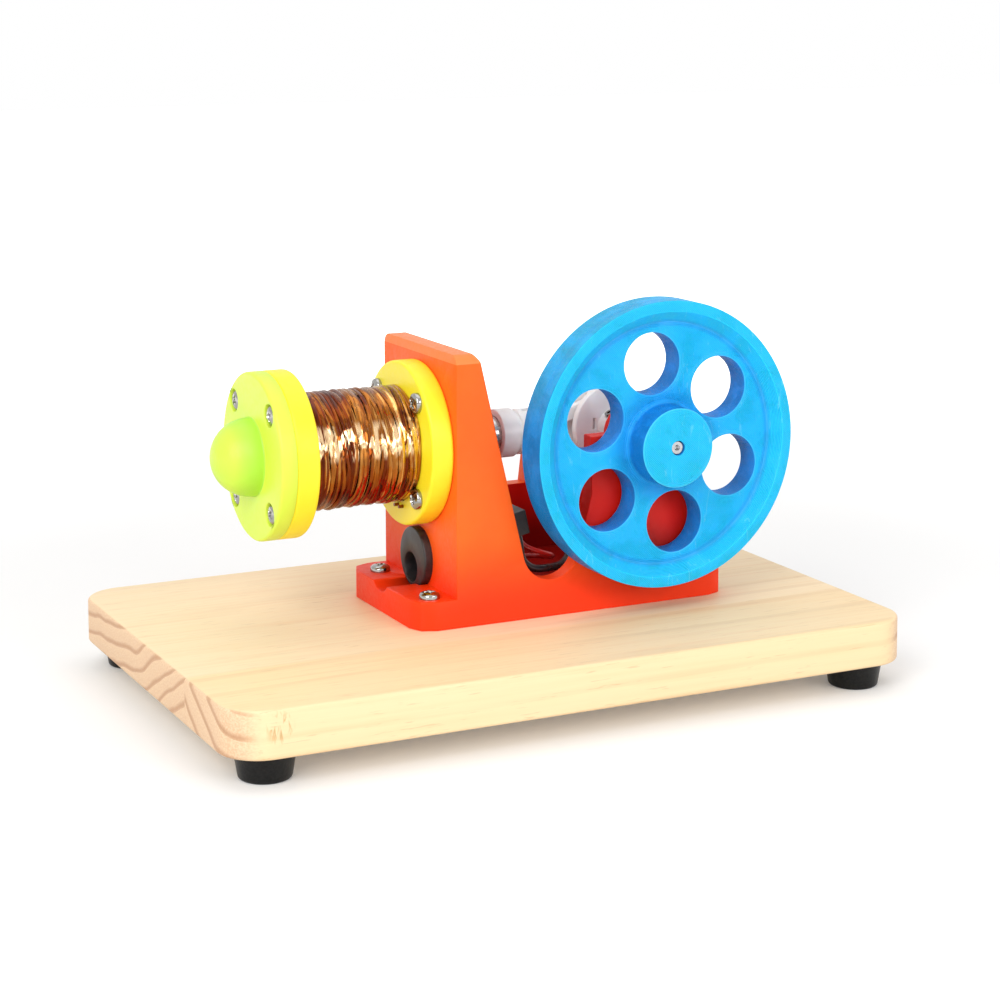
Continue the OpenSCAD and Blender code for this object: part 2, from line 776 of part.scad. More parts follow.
module flanged_bush(y, flange_y) {
    difference() {
        union() {
            bar_y(shaft_x, y, axis_z, boss_l, bush_r);
            bar_y(shaft_x, flange_y, axis_z, bush_flange_t, bush_r + 1.6);
        }
        bar_y(shaft_x, y - 2, axis_z, boss_l + 4, shaft_bore_r);
    }
}
module front_bush() {
    color("goldenrod") on_deck() flanged_bush(front_y, front_boss_end);
}
module rear_bush() {
    color("goldenrod") on_deck() flanged_bush(rear_boss_end, rear_boss_end - bush_flange_t);
}

module washer(y) {
    difference() {
        bar_y(shaft_x, y, axis_z, washer_t, bush_r + 1);
        bar_y(shaft_x, y - 1, axis_z, washer_t + 2, shaft_bore_r);
    }
}
module front_washer() {
    color("silver") on_deck() washer(front_y - washer_t - 0.15);
}
module rear_washer() {
    color("silver") on_deck() washer(rear_y + 0.15);
}

// Half of the flywheel's section: radius against distance from its rear face.
module wheel_section() {
    web = wheel_w - recess_d;
    recess_r = wheel_r - rim_w;
    fillet = 1.4;
    polygon(concat(
        [
            [shaft_bore_r, 0], [wheel_r - 0.6, 0], [wheel_r, 0.6], [wheel_r, wheel_w - 0.6],
            [wheel_r - 0.6, wheel_w], [recess_r, wheel_w], [recess_r - recess_d, web]
        ],
        arc(wheel_boss_r + fillet, web + fillet, fillet, 270, 180, 6),
        [
            [wheel_boss_r, wheel_w + wheel_boss_out - 0.4],
            [wheel_boss_r - 0.4, wheel_w + wheel_boss_out],
            [shaft_bore_r, wheel_w + wheel_boss_out]
        ]
    ));
}
module flywheel() {
    color("deepskyblue")
        on_deck()
            difference() {
                translate([shaft_x, wheel_rear_y, axis_z]) rotate([90, 0, 0]) rotate_extrude() wheel_section();
                for (i = [0:wheel_holes - 1])
                    let (a = wheel_hole_angle + 360 * i / wheel_holes)
                    bar_y(shaft_x + wheel_hole_pcr * cos(a), wheel_front_y - 1, axis_z + wheel_hole_pcr * sin(a),
                        wheel_w + 2, wheel_hole_r);
            }
}

module front_shaft() {
    color("lightgray")
        on_deck()
            bar_y(shaft_x, wheel_face_y + 0.6, axis_z, front_disc_y + disc_t - wheel_face_y - 0.6, shaft_r);
}

// A crank disc with a hub that reaches to the bush's flange.
module front_crank_disc() {
    color("whitesmoke")
        on_deck()
            difference() {
                union() {
                    bar_y(shaft_x, front_disc_y, axis_z, disc_t, disc_r);
                    bar_y(shaft_x, front_hub_y, axis_z, front_disc_y - front_hub_y, hub_r);
                }
                bar_y(shaft_x, front_hub_y - 1, axis_z, front_disc_y + disc_t - front_hub_y + 2, shaft_bore_r);
                translate([shaft_x - 6.3, front_disc_y - 1, axis_z - 0.6]) cube([0.9, 2.4, 3.2]);
                set_screw_place() cylinder(h = 10, r = set_screw_r + fit, $fn = hole_fn);
            }
}
front_hub_y = front_boss_end + bush_flange_t + gap;
rear_hub_end = rear_boss_end - bush_flange_t - gap;
set_screw_r = 1.4;
set_screw_angle = 120;

// The set screw points out of the hub, just in front of the disc.
module set_screw_place() {
    translate([shaft_x, front_disc_y - 2.6, axis_z]) rotate([0, 90 - set_screw_angle, 0]) children();
}
module disc_set_screw() {
    color("silver")
        on_deck()
            set_screw_place()
                difference() {
                    translate([0, 0, shaft_r + fit]) cylinder(h = hub_r - shaft_r + 0.4, r = set_screw_r);
                    translate([0, 0, hub_r - 0.6]) cylinder(h = 2, r = 0.7, $fn = 6);
                }
}

module rear_crank_disc() {
    color("whitesmoke")
        on_deck()
            difference() {
                union() {
                    bar_y(shaft_x, rear_disc_y, axis_z, disc_t, disc_r);
                    bar_y(shaft_x, rear_disc_y, axis_z, rear_hub_end - rear_disc_y, hub_r - 0.6);
                }
                bar_y(shaft_x, rear_disc_y - 1, axis_z, rear_hub_end - rear_disc_y + 2, shaft_bore_r);
                bar_y(magnet_x, rear_disc_y + 1, magnet_z, disc_t, magnet_r + fit, $fn = hole_fn);
            }
}
magnet_r = 1.5;
magnet_x = shaft_x + magnet_pcr * cos(crank_angle + 180);
magnet_z = axis_z + magnet_pcr * sin(crank_angle + 180);
module timing_magnet() {
    color("silver") on_deck() bar_y(magnet_x, rear_disc_y + 1, magnet_z, disc_t - 1, magnet_r);
}

collar_t = 4;
collar_y = rear_y + washer_t + 0.3;
module rear_shaft() {
    color("lightgray")
        on_deck() bar_y(shaft_x, rear_disc_y, axis_z, collar_y + collar_t + 0.5 - rear_disc_y, shaft_r);
}
module shaft_collar() {
    color("silver")
        on_deck()
            difference() {
                bar_y(shaft_x, collar_y, axis_z, collar_t, 4.2);
                bar_y(shaft_x, collar_y - 1, axis_z, collar_t + 2, shaft_bore_r);
            }
}

// ---- Plunger and connecting rod ----

module plunger() {
    color("silver")
        on_deck() bar_x(core_x, axis_y, axis_z, plunger_l, plunger_r);
}

module plunger_head() {
    color("white")
        on_deck()
            difference() {
                union() {
                    bar_x(head_x, axis_y, axis_z, head_l, head_r);
                    bar_x(groove_x, axis_y, axis_z, groove_w, fork_r - 0.7);
                    bar_x(fork_x, axis_y, axis_z, fork_end_x - fork_x, fork_r);
                }
                bar_x(head_x - 1, axis_y, axis_z, head_socket + 1, plunger_r);
                translate([slot_x, rod_front_y - gap, axis_z - fork_r - 1])
                    cube([fork_end_x - slot_x + 1, rod_t + 2 * gap, 2 * fork_r + 2]);
                bar_y(wrist_x, axis_y - fork_r - 1, axis_z, 2 * fork_r + 2, wrist_pin_r);
            }
}

module wrist_pin() {
    color("silver")
        on_deck() bar_y(wrist_x, axis_y - fork_r + 1, axis_z, 2 * fork_r - 2, wrist_pin_r);
}

module connecting_rod() {
    color("white")
        on_deck()
            difference() {
                union() {
                    bar_y(wrist_x, rod_front_y, axis_z, rod_t, rod_small_r);
                    bar_y(pin_x, rod_front_y, pin_z, rod_t, rod_big_r);
                    translate([wrist_x, rod_front_y, axis_z])
                        rotate([0, -rod_drop, 0])
                            translate([wrist_pin_r + 0.6, (rod_t - rod_bar_t) / 2, -rod_bar_w / 2])
                                cube([rod_l - wrist_pin_r - crank_pin_r - 1.2, rod_bar_t, rod_bar_w]);
                }
                bar_y(wrist_x, rod_front_y - 1, axis_z, rod_t + 2, wrist_pin_r + fit);
                bar_y(pin_x, rod_front_y - 1, pin_z, rod_t + 2, crank_pin_r);
            }
}

module crank_pin() {
    color("silver")
        on_deck() bar_y(pin_x, rod_front_y - 0.1, pin_z, rod_t + 0.2, crank_pin_r);
}

base_board();
rubber_foot_front_left();
rubber_foot_front_right();
rubber_foot_rear_left();
rubber_foot_rear_right();
foot_screws();
frame();
frame_screws();
bobbin();
winding_core();
winding();
end_cap();
end_cap_screws();
bobbin_screws();
coil_lead_inner();
coil_lead_outer();
socket_bezel();
socket_body();
socket_pin();
socket_terminals();
red_lead();
ground_lead();
sensor_lead();
driver_module();
timing_sensor();
front_bush();
rear_bush();
front_washer();
rear_washer();
flywheel();
front_shaft();
front_crank_disc();
disc_set_screw();
rear_shaft();
rear_crank_disc();
timing_magnet();
shaft_collar();
plunger();
plunger_head();
wrist_pin();
connecting_rod();
crank_pin();
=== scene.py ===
"""The looks of the demonstration electric motor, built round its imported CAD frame."""

import json
import math
import random

import bmesh
import bpy
from mathutils import Matrix, Vector, noise


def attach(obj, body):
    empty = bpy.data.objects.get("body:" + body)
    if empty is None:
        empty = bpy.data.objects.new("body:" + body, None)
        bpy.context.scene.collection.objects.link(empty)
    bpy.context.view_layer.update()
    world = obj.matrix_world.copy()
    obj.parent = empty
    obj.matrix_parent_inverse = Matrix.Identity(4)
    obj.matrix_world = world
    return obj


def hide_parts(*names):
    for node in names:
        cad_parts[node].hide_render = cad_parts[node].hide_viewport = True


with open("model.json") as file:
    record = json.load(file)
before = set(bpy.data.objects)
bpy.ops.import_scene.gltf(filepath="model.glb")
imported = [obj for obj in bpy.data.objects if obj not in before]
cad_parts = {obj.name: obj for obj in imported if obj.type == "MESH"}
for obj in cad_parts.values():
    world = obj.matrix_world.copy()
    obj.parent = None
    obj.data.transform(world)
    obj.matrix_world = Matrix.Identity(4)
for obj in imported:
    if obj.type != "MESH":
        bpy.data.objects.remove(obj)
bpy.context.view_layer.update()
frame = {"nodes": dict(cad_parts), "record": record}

# Places and sizes are in millimetres, as in the part's source, unless a comment says otherwise.
MM = 0.001
TO_MM = (1000, 1000, 1000)  # scales metres to millimetres
DECK = 20.1  # height of the board's top
AXIS_Y = 4.8  # the middle plane of coil, plunger and rod
AXIS_RISE = 47.8  # the coil's and the crank's axes, above the board's top
AXIS_Z = DECK + AXIS_RISE
SHAFT_X = 40.8  # the crankshaft's axis
SLOPE = 13.0 / 56.1  # how far the tower's right face leans back for each millimetre up
SLOPE_ANGLE = math.atan(SLOPE)
TOWER_TOP_X, TOWER_Z = -11.0, 73.0  # where that face ends, above the board's top
CORE_R, FLANGE_R = 8, 23  # the bobbin's tube, and its flanges and the end cap
BOBBIN_LEFT, COIL_LEFT, COIL_RIGHT, BOBBIN_RIGHT = -63.7, -57.2, -24.9, -18.4
CAP_FACE, CAP_SEAT = -68.3, -66.4  # the end cap's face, and where its screws' heads sit
NOSE_R = 10.7
COIL_SCREW_R = 18.85
WEB_Y = -28.4  # the front of the wheel's sunk web
BOSS_R, RECESS_R = 11.1, 34.0
HOLES, HOLE_R, HOLE_CIRCLE, HOLE_TURN = 6, 8.7, 22.8, math.radians(39.3)
SOCKET_RISE = 14.9  # the socket's middle, above the board's top
PLUG_OFF, PLUG_AIM = 3.4, math.radians(-68)
FINE_SPIN, WHEEL_SPIN = 144, 192  # segments of the large turned pieces
LAYER_PITCH = 0.28
FLOOR_REACH = 3.0  # in metres
ROOM_LIGHT = 0.52  # how strongly the white room lights the object


# ---- Camera, floor and light ----

def photo_camera():
    """The photograph's camera, solved from the board's, the tower's and the wheel's edges."""
    sensor, image_width, focal_pixels = 36, 1000, 2328.2
    place = (-0.28282, -0.57834, 0.17442 + DECK * MM)
    azimuth, pitch, roll = (math.radians(a) for a in (25.550, 6.718, -0.185))
    forward = Vector((
        math.sin(azimuth) * math.cos(pitch), math.cos(azimuth) * math.cos(pitch), -math.sin(pitch)
    ))
    right = Vector((math.cos(azimuth), -math.sin(azimuth), 0))
    up = right.cross(forward)
    across = right * math.cos(roll) + up * math.sin(roll)
    upright = up * math.cos(roll) - right * math.sin(roll)
    data = bpy.data.cameras.new("camera")
    data.sensor_fit = "HORIZONTAL"
    data.sensor_width = sensor
    data.lens = focal_pixels / image_width * sensor
    data.shift_x, data.shift_y = 0.0348, -0.2415
    data.clip_start = 0.01
    data.clip_end = 20
    camera = bpy.data.objects.new("camera", data)
    bpy.context.scene.collection.objects.link(camera)
    turn = Matrix((across, upright, -forward)).transposed().to_4x4()
    camera.matrix_world = Matrix.Translation(place) @ turn
    bpy.context.scene.camera = camera


def softbox(name, place, target, size, watts):
    """A square area light that points at a target; places are in metres."""
    data = bpy.data.lights.new(name, "AREA")
    data.shape = "RECTANGLE"
    data.size, data.size_y = size
    data.energy = watts
    light = bpy.data.objects.new(name, data)
    bpy.context.scene.collection.objects.link(light)
    light.location = place
    light.rotation_euler = (Vector(target) - Vector(place)).to_track_quat("-Z", "Y").to_euler()


def studio():
    """A white floor without a horizon, a white room and three softboxes."""
    scene = bpy.context.scene
    scene.view_settings.view_transform = "Standard"
    scene.world = white_room()
    bm = bmesh.new()
    bmesh.ops.create_grid(bm, x_segments=1, y_segments=1, size=FLOOR_REACH)
    mesh = bpy.data.meshes.new("floor")
    bm.to_mesh(mesh)
    bm.free()
    floor = bpy.data.objects.new("floor", mesh)
    scene.collection.objects.link(floor)
    mesh.materials.append(floor_paper())
    softbox("key", (-0.86, -0.68, 0.72), (0, 0, 0.06), (0.7, 0.9), 10)
    softbox("top", (0.1, 0.15, 1.1), (0, 0, 0), (1.1, 0.9), 3)
    softbox("fill", (0.42, -1.03, 0.48), (0, 0, 0.06), (0.7, 0.45), 4.2)


# ---- Shader helpers ----

class Nodes:
    """Adds nodes to one node tree, with their inputs given by name."""

    def __init__(self, tree):
        self.tree = tree

    def add(self, kind, inputs=None, **properties):
        node = self.tree.nodes.new(kind)
        for name, value in properties.items():
            setattr(node, name, value)
        for name, value in (inputs or {}).items():
            self.give(node.inputs[name], value)
        return node

    def give(self, socket, value):
        """Links an output to a socket, or sets the socket's own value; a colour needs no alpha."""
        if isinstance(value, bpy.types.NodeSocket):
            self.tree.links.new(value, socket)
        elif socket.type == "RGBA" and len(value) == 3:
            socket.default_value = (*value, 1)
        else:
            socket.default_value = value

    def effect(self, group, **inputs):
        """Places a shader node group, with its inputs given by name, and returns its outputs."""
        return self.add("ShaderNodeGroup", inputs, node_tree=group).outputs

    def math(self, operation, a, b=0.0, c=0.0):
        return self.add("ShaderNodeMath", {0: a, 1: b, 2: c}, operation=operation).outputs[0]

    def vector(self, operation, a, b=(0, 0, 0)):
        return self.add("ShaderNodeVectorMath", {0: a, 1: b}, operation=operation).outputs[0]

    def scaled(self, vector, scale):
        return self.vector("MULTIPLY", vector, scale)

    def split(self, vector):
        return self.add("ShaderNodeSeparateXYZ", {0: vector}).outputs

    def joined(self, x, y, z):
        return self.add("ShaderNodeCombineXYZ", {0: x, 1: y, 2: z}).outputs[0]

    def length(self, vector):
        return self.add("ShaderNodeVectorMath", {0: vector}, operation="LENGTH").outputs["Value"]

    def from_axis(self, a, b, centre_a, centre_b):
        """The distance from an axis; a and b are measured across it, as its own place is."""
        return self.length(self.joined(
            self.math("SUBTRACT", a, centre_a), self.math("SUBTRACT", b, centre_b), 0.0))

    def product(self, *values):
        """The product of several numbers or masks."""
        total = values[0]
        for value in values[1:]:
            total = self.math("MULTIPLY", total, value)
        return total

    def absolute(self, value):
        return self.math("ABSOLUTE", value)

    def noise(self, vector, scale, detail=2.0, rough=0.5, distortion=0.0):
        return self.add("ShaderNodeTexNoise", {
            "Vector": vector, "Scale": scale, "Detail": detail, "Roughness": rough,
            "Distortion": distortion,
        }).outputs["Fac"]

    def ramp(self, factor, stops, mode="LINEAR"):
        node = self.add("ShaderNodeValToRGB", {0: factor})
        node.color_ramp.interpolation = mode
        elements = node.color_ramp.elements
        while len(elements) < len(stops):
            elements.new(0.5)
        for element, (place, colour) in zip(elements, stops):
            element.position = place
            element.color = (*colour, 1)
        return node.outputs["Color"]

    def steps(self, value, low, high, to_low=0.0, to_high=1.0):
        """The value mapped smoothly from low..high to to_low..to_high, and clamped."""
        return self.add("ShaderNodeMapRange", {
            0: value, 1: low, 2: high, 3: to_low, 4: to_high
        }, interpolation_type="SMOOTHSTEP").outputs[0]

    def blend(self, factor, a, b, mode="MIX"):
        """A colour between a and b."""
        node = self.add("ShaderNodeMix", data_type="RGBA", blend_type=mode)
        sockets = {socket.identifier: socket for socket in node.inputs}
        for name, value in (("Factor_Float", factor), ("A_Color", a), ("B_Color", b)):
            self.give(sockets[name], value)
        return next(s for s in node.outputs if s.identifier == "Result_Color")

    def mixed(self, factor, a, b):
        """A number between a and b."""
        return self.add("ShaderNodeMix", {0: factor, 2: a, 3: b}).outputs[0]

    def place(self):
        return self.add("ShaderNodeTexCoord").outputs["Object"]

    def facing(self):
        """The x, y and z of the surface's own direction."""
        return self.split(self.add("ShaderNodeNewGeometry").outputs["Normal"])

    def bump(self, height, distance, strength):
        return self.add("ShaderNodeBump", {
            "Height": height, "Distance": distance, "Strength": strength,
        }).outputs["Normal"]


def fill(shader, **values):
    """Sets or links the shader's inputs, whose names have underscores for spaces here."""
    nodes = Nodes(shader.id_data)
    for name, value in values.items():
        nodes.give(shader.inputs[name.replace("_", " ")], value)


def material(name, **values):
    """A new material with its Principled shader; returns the material, its nodes and the shader."""
    made = bpy.data.materials.new(name)
    made.use_nodes = True
    shader = made.node_tree.nodes["Principled BSDF"]
    fill(shader, **values)
    return made, Nodes(made.node_tree), shader


def finished(made):
    """A made material's nodes, shader and present colour, for colours laid over it."""
    shader = made.node_tree.nodes["Principled BSDF"]
    return Nodes(made.node_tree), shader, shader.inputs["Base Color"].links[0].from_socket


def roughen(nodes, place, shader, scale, depth, strength):
    """Gives a material the fine unevenness of a moulded or printed surface."""
    grain = nodes.effect(GRAIN, Place=place, Scale=scale, Depth=depth, Strength=strength)
    fill(shader, Normal=grain["Normal"])


def new_effect(name, inputs, outputs, build):
    """A shader node group; build makes its nodes and returns each output's value by name."""
    group = bpy.data.node_groups.new(name, "ShaderNodeTree")
    for label, kind in inputs:
        group.interface.new_socket(label, in_out="INPUT", socket_type="NodeSocket" + kind)
    for label, kind in outputs:
        group.interface.new_socket(label, in_out="OUTPUT", socket_type="NodeSocket" + kind)
    nodes = Nodes(group)
    results = build(nodes, nodes.add("NodeGroupInput").outputs)
    end = nodes.add("NodeGroupOutput")
    for label, _ in outputs:
        group.links.new(results[label], end.inputs[label])
    return group


def layers_effect():
    """Printed layers: a fine line every Pitch millimetres along Along, and the plastic's grain."""
    def build(nodes, given):
        wobble = nodes.noise(given["Place"], 220.0, 2.0)
        along = nodes.math("MULTIPLY", given["Along"], math.tau / MM)
        turns = nodes.math("DIVIDE", along, given["Pitch"])
        lines = nodes.math("SINE", nodes.math("MULTIPLY_ADD", wobble, 2.5, turns))
        grain = nodes.noise(given["Place"], 900.0, 3.0)
        height = nodes.math("MULTIPLY_ADD", lines, 0.35, grain)
        change = nodes.steps(grain, 0.3, 0.7, -0.05, 0.06)
        return {"Normal": nodes.bump(height, 0.00006, 0.55),
                "Roughness": nodes.math("ADD", given["Roughness"], change)}

    return new_effect(
        "printed_layers",
        [("Place", "Vector"), ("Along", "Float"), ("Pitch", "Float"), ("Roughness", "Float")],
        [("Normal", "Vector"), ("Roughness", "Float")], build)


def clouds_effect():
    """Slow patches between two shades of one colour."""
    def build(nodes, given):
        cloud = nodes.noise(given["Place"], given["Scale"], 3.0)
        share = nodes.steps(cloud, 0.3, 0.7)
        return {"Color": nodes.blend(share, given["Dark"], given["Light"]), "Share": share}

    return new_effect(
        "shade_clouds",
        [("Place", "Vector"), ("Scale", "Float"), ("Dark", "Color"), ("Light", "Color")],
        [("Color", "Color"), ("Share", "Float")], build)


def grain_effect():
    """The fine unevenness of a moulded or printed surface."""
    def build(nodes, given):
        grain = nodes.noise(given["Place"], given["Scale"], 2.0)
        return {"Normal": nodes.bump(grain, given["Depth"], given["Strength"])}

    return new_effect(
        "surface_grain",
        [("Place", "Vector"), ("Scale", "Float"), ("Depth", "Float"), ("Strength", "Float")],
        [("Normal", "Vector")], build)


def marks_effect():
    """Fine marks on bare metal; Place is already stretched along the way it was brushed."""
    def build(nodes, given):
        marks = nodes.noise(given["Place"], 1.2, 4.0, 0.6)
        dark = nodes.blend(1.0, given["Color"], (0.78, 0.78, 0.78), "MULTIPLY")
        spread = nodes.math("MULTIPLY", nodes.steps(marks, 0.25, 0.75, -1.0, 1.0), given["Spread"])
        return {"Color": nodes.blend(nodes.steps(marks, 0.25, 0.7), dark, given["Color"]),
                "Roughness": nodes.math("ADD", given["Roughness"], spread),
                "Normal": nodes.bump(marks, 0.00002, 0.4)}

    return new_effect(
        "metal_marks",
        [("Place", "Vector"), ("Color", "Color"), ("Roughness", "Float"), ("Spread", "Float")],
        [("Color", "Color"), ("Roughness", "Float"), ("Normal", "Vector")], build)


LAYERS, CLOUDS, GRAIN, MARKS = layers_effect(), clouds_effect(), grain_effect(), marks_effect()


def seen_directly(nodes):
    """1 for camera, glossy and transmission rays, and 0 for the light that falls on things."""
    path = nodes.add("ShaderNodeLightPath").outputs
    seen = nodes.math("MAXIMUM", path["Is Camera Ray"], path["Is Glossy Ray"])
    return nodes.math("MAXIMUM", seen, path["Is Transmission Ray"])


def white_room():
    """A white world that lights the object at a plain level."""
    world = bpy.data.worlds.new("white_room")
    world.use_nodes = True
    nodes = Nodes(world.node_tree)
    background = world.node_tree.nodes["Background"]
    background.inputs["Color"].default_value = (1, 1, 1, 1)
    level = nodes.math("MULTIPLY_ADD", seen_directly(nodes), 1.0 - ROOM_LIGHT, ROOM_LIGHT)
    world.node_tree.links.new(level, background.inputs["Strength"])
    return world


def floor_paper():
    """White paper that shows the object's shadow; a part of its white is seen, but lights nothing."""
    made, nodes, shader = material(
        "floor_paper", Roughness=0.6, Specular_IOR_Level=0.1, Emission_Color=(1, 1, 1))
    spots = nodes.noise(nodes.place(), 6.0, 2.0)
    paper = nodes.ramp(spots, [(0.3, (0.85, 0.845, 0.84)), (0.7, (0.865, 0.86, 0.85))])
    far = nodes.steps(nodes.length(nodes.place()), 0.2, 0.6, 0.14, 1.0)
    fill(shader, Base_Color=paper, Emission_Strength=nodes.product(seen_directly(nodes), far))
    return made


# ---- Materials ----

def printed_plastic(name, colour, deep, roughness, layer_axis, glow=0.0, gloss=0.5):
    """Printed plastic: faint layer lines across one axis and a slow change of shade."""
    made, nodes, shader = material(name, Specular_IOR_Level=gloss)
    place = nodes.place()
    shade = nodes.effect(CLOUDS, Place=place, Scale=38.0, Dark=deep, Light=colour)
    along = nodes.split(place)[layer_axis]
    layers = nodes.effect(LAYERS, Place=place, Along=along, Pitch=LAYER_PITCH, Roughness=roughness)
    fill(shader, Base_Color=shade["Color"], Normal=layers["Normal"], Roughness=layers["Roughness"])
    if glow:
        fill(shader, Subsurface_Weight=glow, Subsurface_Radius=(0.002, 0.0015, 0.001),
             Subsurface_Scale=1.0)
    return made


def orange_plastic():
    """The frame's orange print, redder at its foot, with painted shade in deep red behind the wheel and
    inside the bay, and a painted highlight on the tower's top face.
    """
    made = printed_plastic(
        "orange_print", (1.0, 0.145, 0.012), (0.97, 0.118, 0.009), 0.42, 2, 0.0, 0.22)
    nodes, shader, colour = finished(made)
    front_wall, rear_wall = -14.4, 24.3  # just inside the walls' outer faces
    slope_foot = TOWER_TOP_X + (TOWER_Z + DECK) * SLOPE - 0.4
    foot_red, lit_top_orange = (1.0, 0.032, 0.002), (1.0, 0.26, 0.07)
    floor_shade_red, wall_shade_red = (0.34, 0.005, 0.002), (0.86, 0.009, 0.002)
    x, y, z = nodes.split(nodes.place())

    foot = nodes.steps(z, (DECK + 4) * MM, (DECK + 26) * MM, 0.9, 0.0)
    colour = nodes.blend(foot, colour, foot_red)
    # Painted shade: the bay between the walls and the front wall behind the wheel turn deep red, darkest
    # near the floor.
    between = nodes.product(
        nodes.math("GREATER_THAN", y, front_wall * MM), nodes.math("LESS_THAN", y, rear_wall * MM),
        nodes.math("GREATER_THAN", x, nodes.math("MULTIPLY_ADD", z, -SLOPE, slope_foot * MM)))
    from_shaft = nodes.from_axis(x, z, SHAFT_X * MM, AXIS_Z * MM)
    behind_wheel_shade = nodes.product(
        nodes.math("LESS_THAN", y, front_wall * MM), nodes.steps(from_shaft, 0.038, 0.034))
    shade = nodes.steps(z, (DECK + 12) * MM, (DECK + 26) * MM)
    colour = nodes.blend(
        nodes.math("MAXIMUM", between, behind_wheel_shade), colour, nodes.blend(shade, floor_shade_red, wall_shade_red))
    # Painted highlight: the tower's top face is paler.
    top = nodes.math("GREATER_THAN", z, (TOWER_Z + DECK - 0.3) * MM)
    fill(shader, Base_Color=nodes.blend(nodes.product(top, 0.8), colour, lit_top_orange))
    return made


def green_plastic():
    """The end cap's yellow-green print, with painted shade in a deeper green on the nose, strongest round
    its root.
    """
    made = printed_plastic("green_print", (0.76, 0.96, 0.08), (0.71, 0.92, 0.07), 0.4, 0, 0.15)
    nodes, shader, colour = finished(made)
    nose_root, reach, nose_shade_green = -68.4, 11.5, (0.46, 0.82, 0.06)
    x, y, z = nodes.split(nodes.place())
    from_coil_axis = nodes.from_axis(y, z, AXIS_Y * MM, AXIS_Z * MM)
    # Painted shade: the nose is a deeper green, most of all towards its root, where the crease against the
    # disc lies in shade.
    nose = nodes.product(
        nodes.math("LESS_THAN", x, nose_root * MM), nodes.math("LESS_THAN", from_coil_axis, reach * MM),
        nodes.steps(from_coil_axis, 0.0078, NOSE_R * MM, 0.35, 1.0))
    fill(shader, Base_Color=nodes.blend(nose, colour, nose_shade_green))
    return made


def wheel_plastic():
    """Blue print whose flat faces show the nozzle's paths: rings round every edge, hatch between."""
    made, nodes, shader = material("blue_print")
    ring_pitch, hatch_pitch, layer_pitch = 0.45, 0.62, 0.3
    pale_blue, shade_blue = (0.25, 0.80, 1.0), (0.003, 0.27, 0.80)
    place = nodes.scaled(nodes.place(), TO_MM)
    x, y, z = nodes.split(place)
    u = nodes.math("SUBTRACT", x, SHAFT_X)
    w = nodes.math("SUBTRACT", z, AXIS_Z)
    radius = nodes.length(nodes.joined(u, w, 0.0))
    _, facing_y, facing_z = nodes.facing()

    # The distance from the nearest edge of a hole, the boss or the rim. The angle is taken from the
    # middle of the nearest hole, as the holes repeat every sixth of a turn.
    sixth = math.tau / HOLES
    shifted = nodes.math("SUBTRACT", nodes.math("ARCTAN2", w, u), HOLE_TURN - sixth / 2)
    near = nodes.math("SUBTRACT", nodes.math("FLOORED_MODULO", shifted, sixth), sixth / 2)
    from_hole = nodes.from_axis(
        nodes.product(radius, nodes.math("COSINE", near)), nodes.product(radius, nodes.math("SINE", near)),
        HOLE_CIRCLE, 0.0)
    from_hole = nodes.math("SUBTRACT", from_hole, HOLE_R)
    from_boss = nodes.absolute(nodes.math("SUBTRACT", radius, BOSS_R))
    from_rim = nodes.absolute(nodes.math("SUBTRACT", RECESS_R, radius))
    edge = nodes.math("MINIMUM", nodes.math("MINIMUM", from_hole, from_boss), from_rim)

    # The nozzle's paths on the flat faces, and the layers on the sides.
    rings = nodes.math("SINE", nodes.product(edge, math.tau / ring_pitch))
    hatch = nodes.math("SINE", nodes.product(nodes.math("ADD", u, w), math.tau / hatch_pitch))
    layers = nodes.math("SINE", nodes.product(y, math.tau / layer_pitch))
    flat = nodes.steps(nodes.absolute(facing_y), 0.9, 0.98)
    lines = nodes.mixed(flat, layers, nodes.mixed(nodes.steps(edge, 1.25, 1.5), rings, hatch))
    patches = nodes.noise(place, 0.16, 3.0, 0.6)
    grain = nodes.noise(place, 0.9, 3.0)
    height = nodes.math("MULTIPLY_ADD", lines, nodes.steps(patches, 0.35, 0.65, 0.25, 0.75), grain)
    fill(shader, Normal=nodes.bump(height, 0.00012, 1.1),
         Roughness=nodes.steps(grain, 0.3, 0.7, 0.3, 0.42))

    # Paler where it is scuffed, and a painted highlight along the edges.
    shade = nodes.math("MULTIPLY_ADD", lines, 0.17, patches)
    blue = nodes.ramp(shade, [(0.25, (0.004, 0.46, 0.97)), (0.75, (0.012, 0.66, 1.0))])
    scuffs = nodes.noise(nodes.scaled(place, (0.5, 0.5, 0.09)), 1.0, 4.0, 0.7, 1.2)
    scuffed = nodes.product(nodes.steps(scuffs, 0.60, 0.68), 0.30)
    scuffs_and_edge_sheen = nodes.math("MAXIMUM", scuffed, nodes.steps(edge, 0.5, 0.1, 0.0, 0.22))
    blue = nodes.blend(scuffs_and_edge_sheen, blue, pale_blue)

    # Painted shade: the sunk web is a deeper blue, most of all round the boss and along the rim's foot,
    # where their shadows fall.
    boss_shadow = nodes.steps(radius, 20.0, 11.5, 0.22, 0.75)
    rim_foot_shadow = nodes.steps(nodes.absolute(nodes.math("SUBTRACT", radius, RECESS_R - 0.4)), 1.5, 0.2, 0.0, 0.6)
    sunk = nodes.product(
        nodes.math("GREATER_THAN", y, WEB_Y - 0.8), nodes.math("LESS_THAN", y, WEB_Y + 1.4),
        nodes.math("MAXIMUM", boss_shadow, rim_foot_shadow))
    blue = nodes.blend(sunk, blue, shade_blue)

    # Painted shade: the sides of the rim, boss and holes are a deeper blue and duller, less so where the
    # tread looks up into the light.
    side = nodes.steps(nodes.absolute(facing_y), 0.6, 0.3)
    skyward = nodes.product(
        nodes.math("GREATER_THAN", radius, 38.0), nodes.steps(facing_z, 0.0, 0.8, 0.0, 0.85))
    side = nodes.math("SUBTRACT", side, nodes.product(side, skyward))
    fill(shader, Base_Color=nodes.blend(side, blue, shade_blue),
         Specular_IOR_Level=nodes.mixed(side, 0.32, 0.16))
    return made


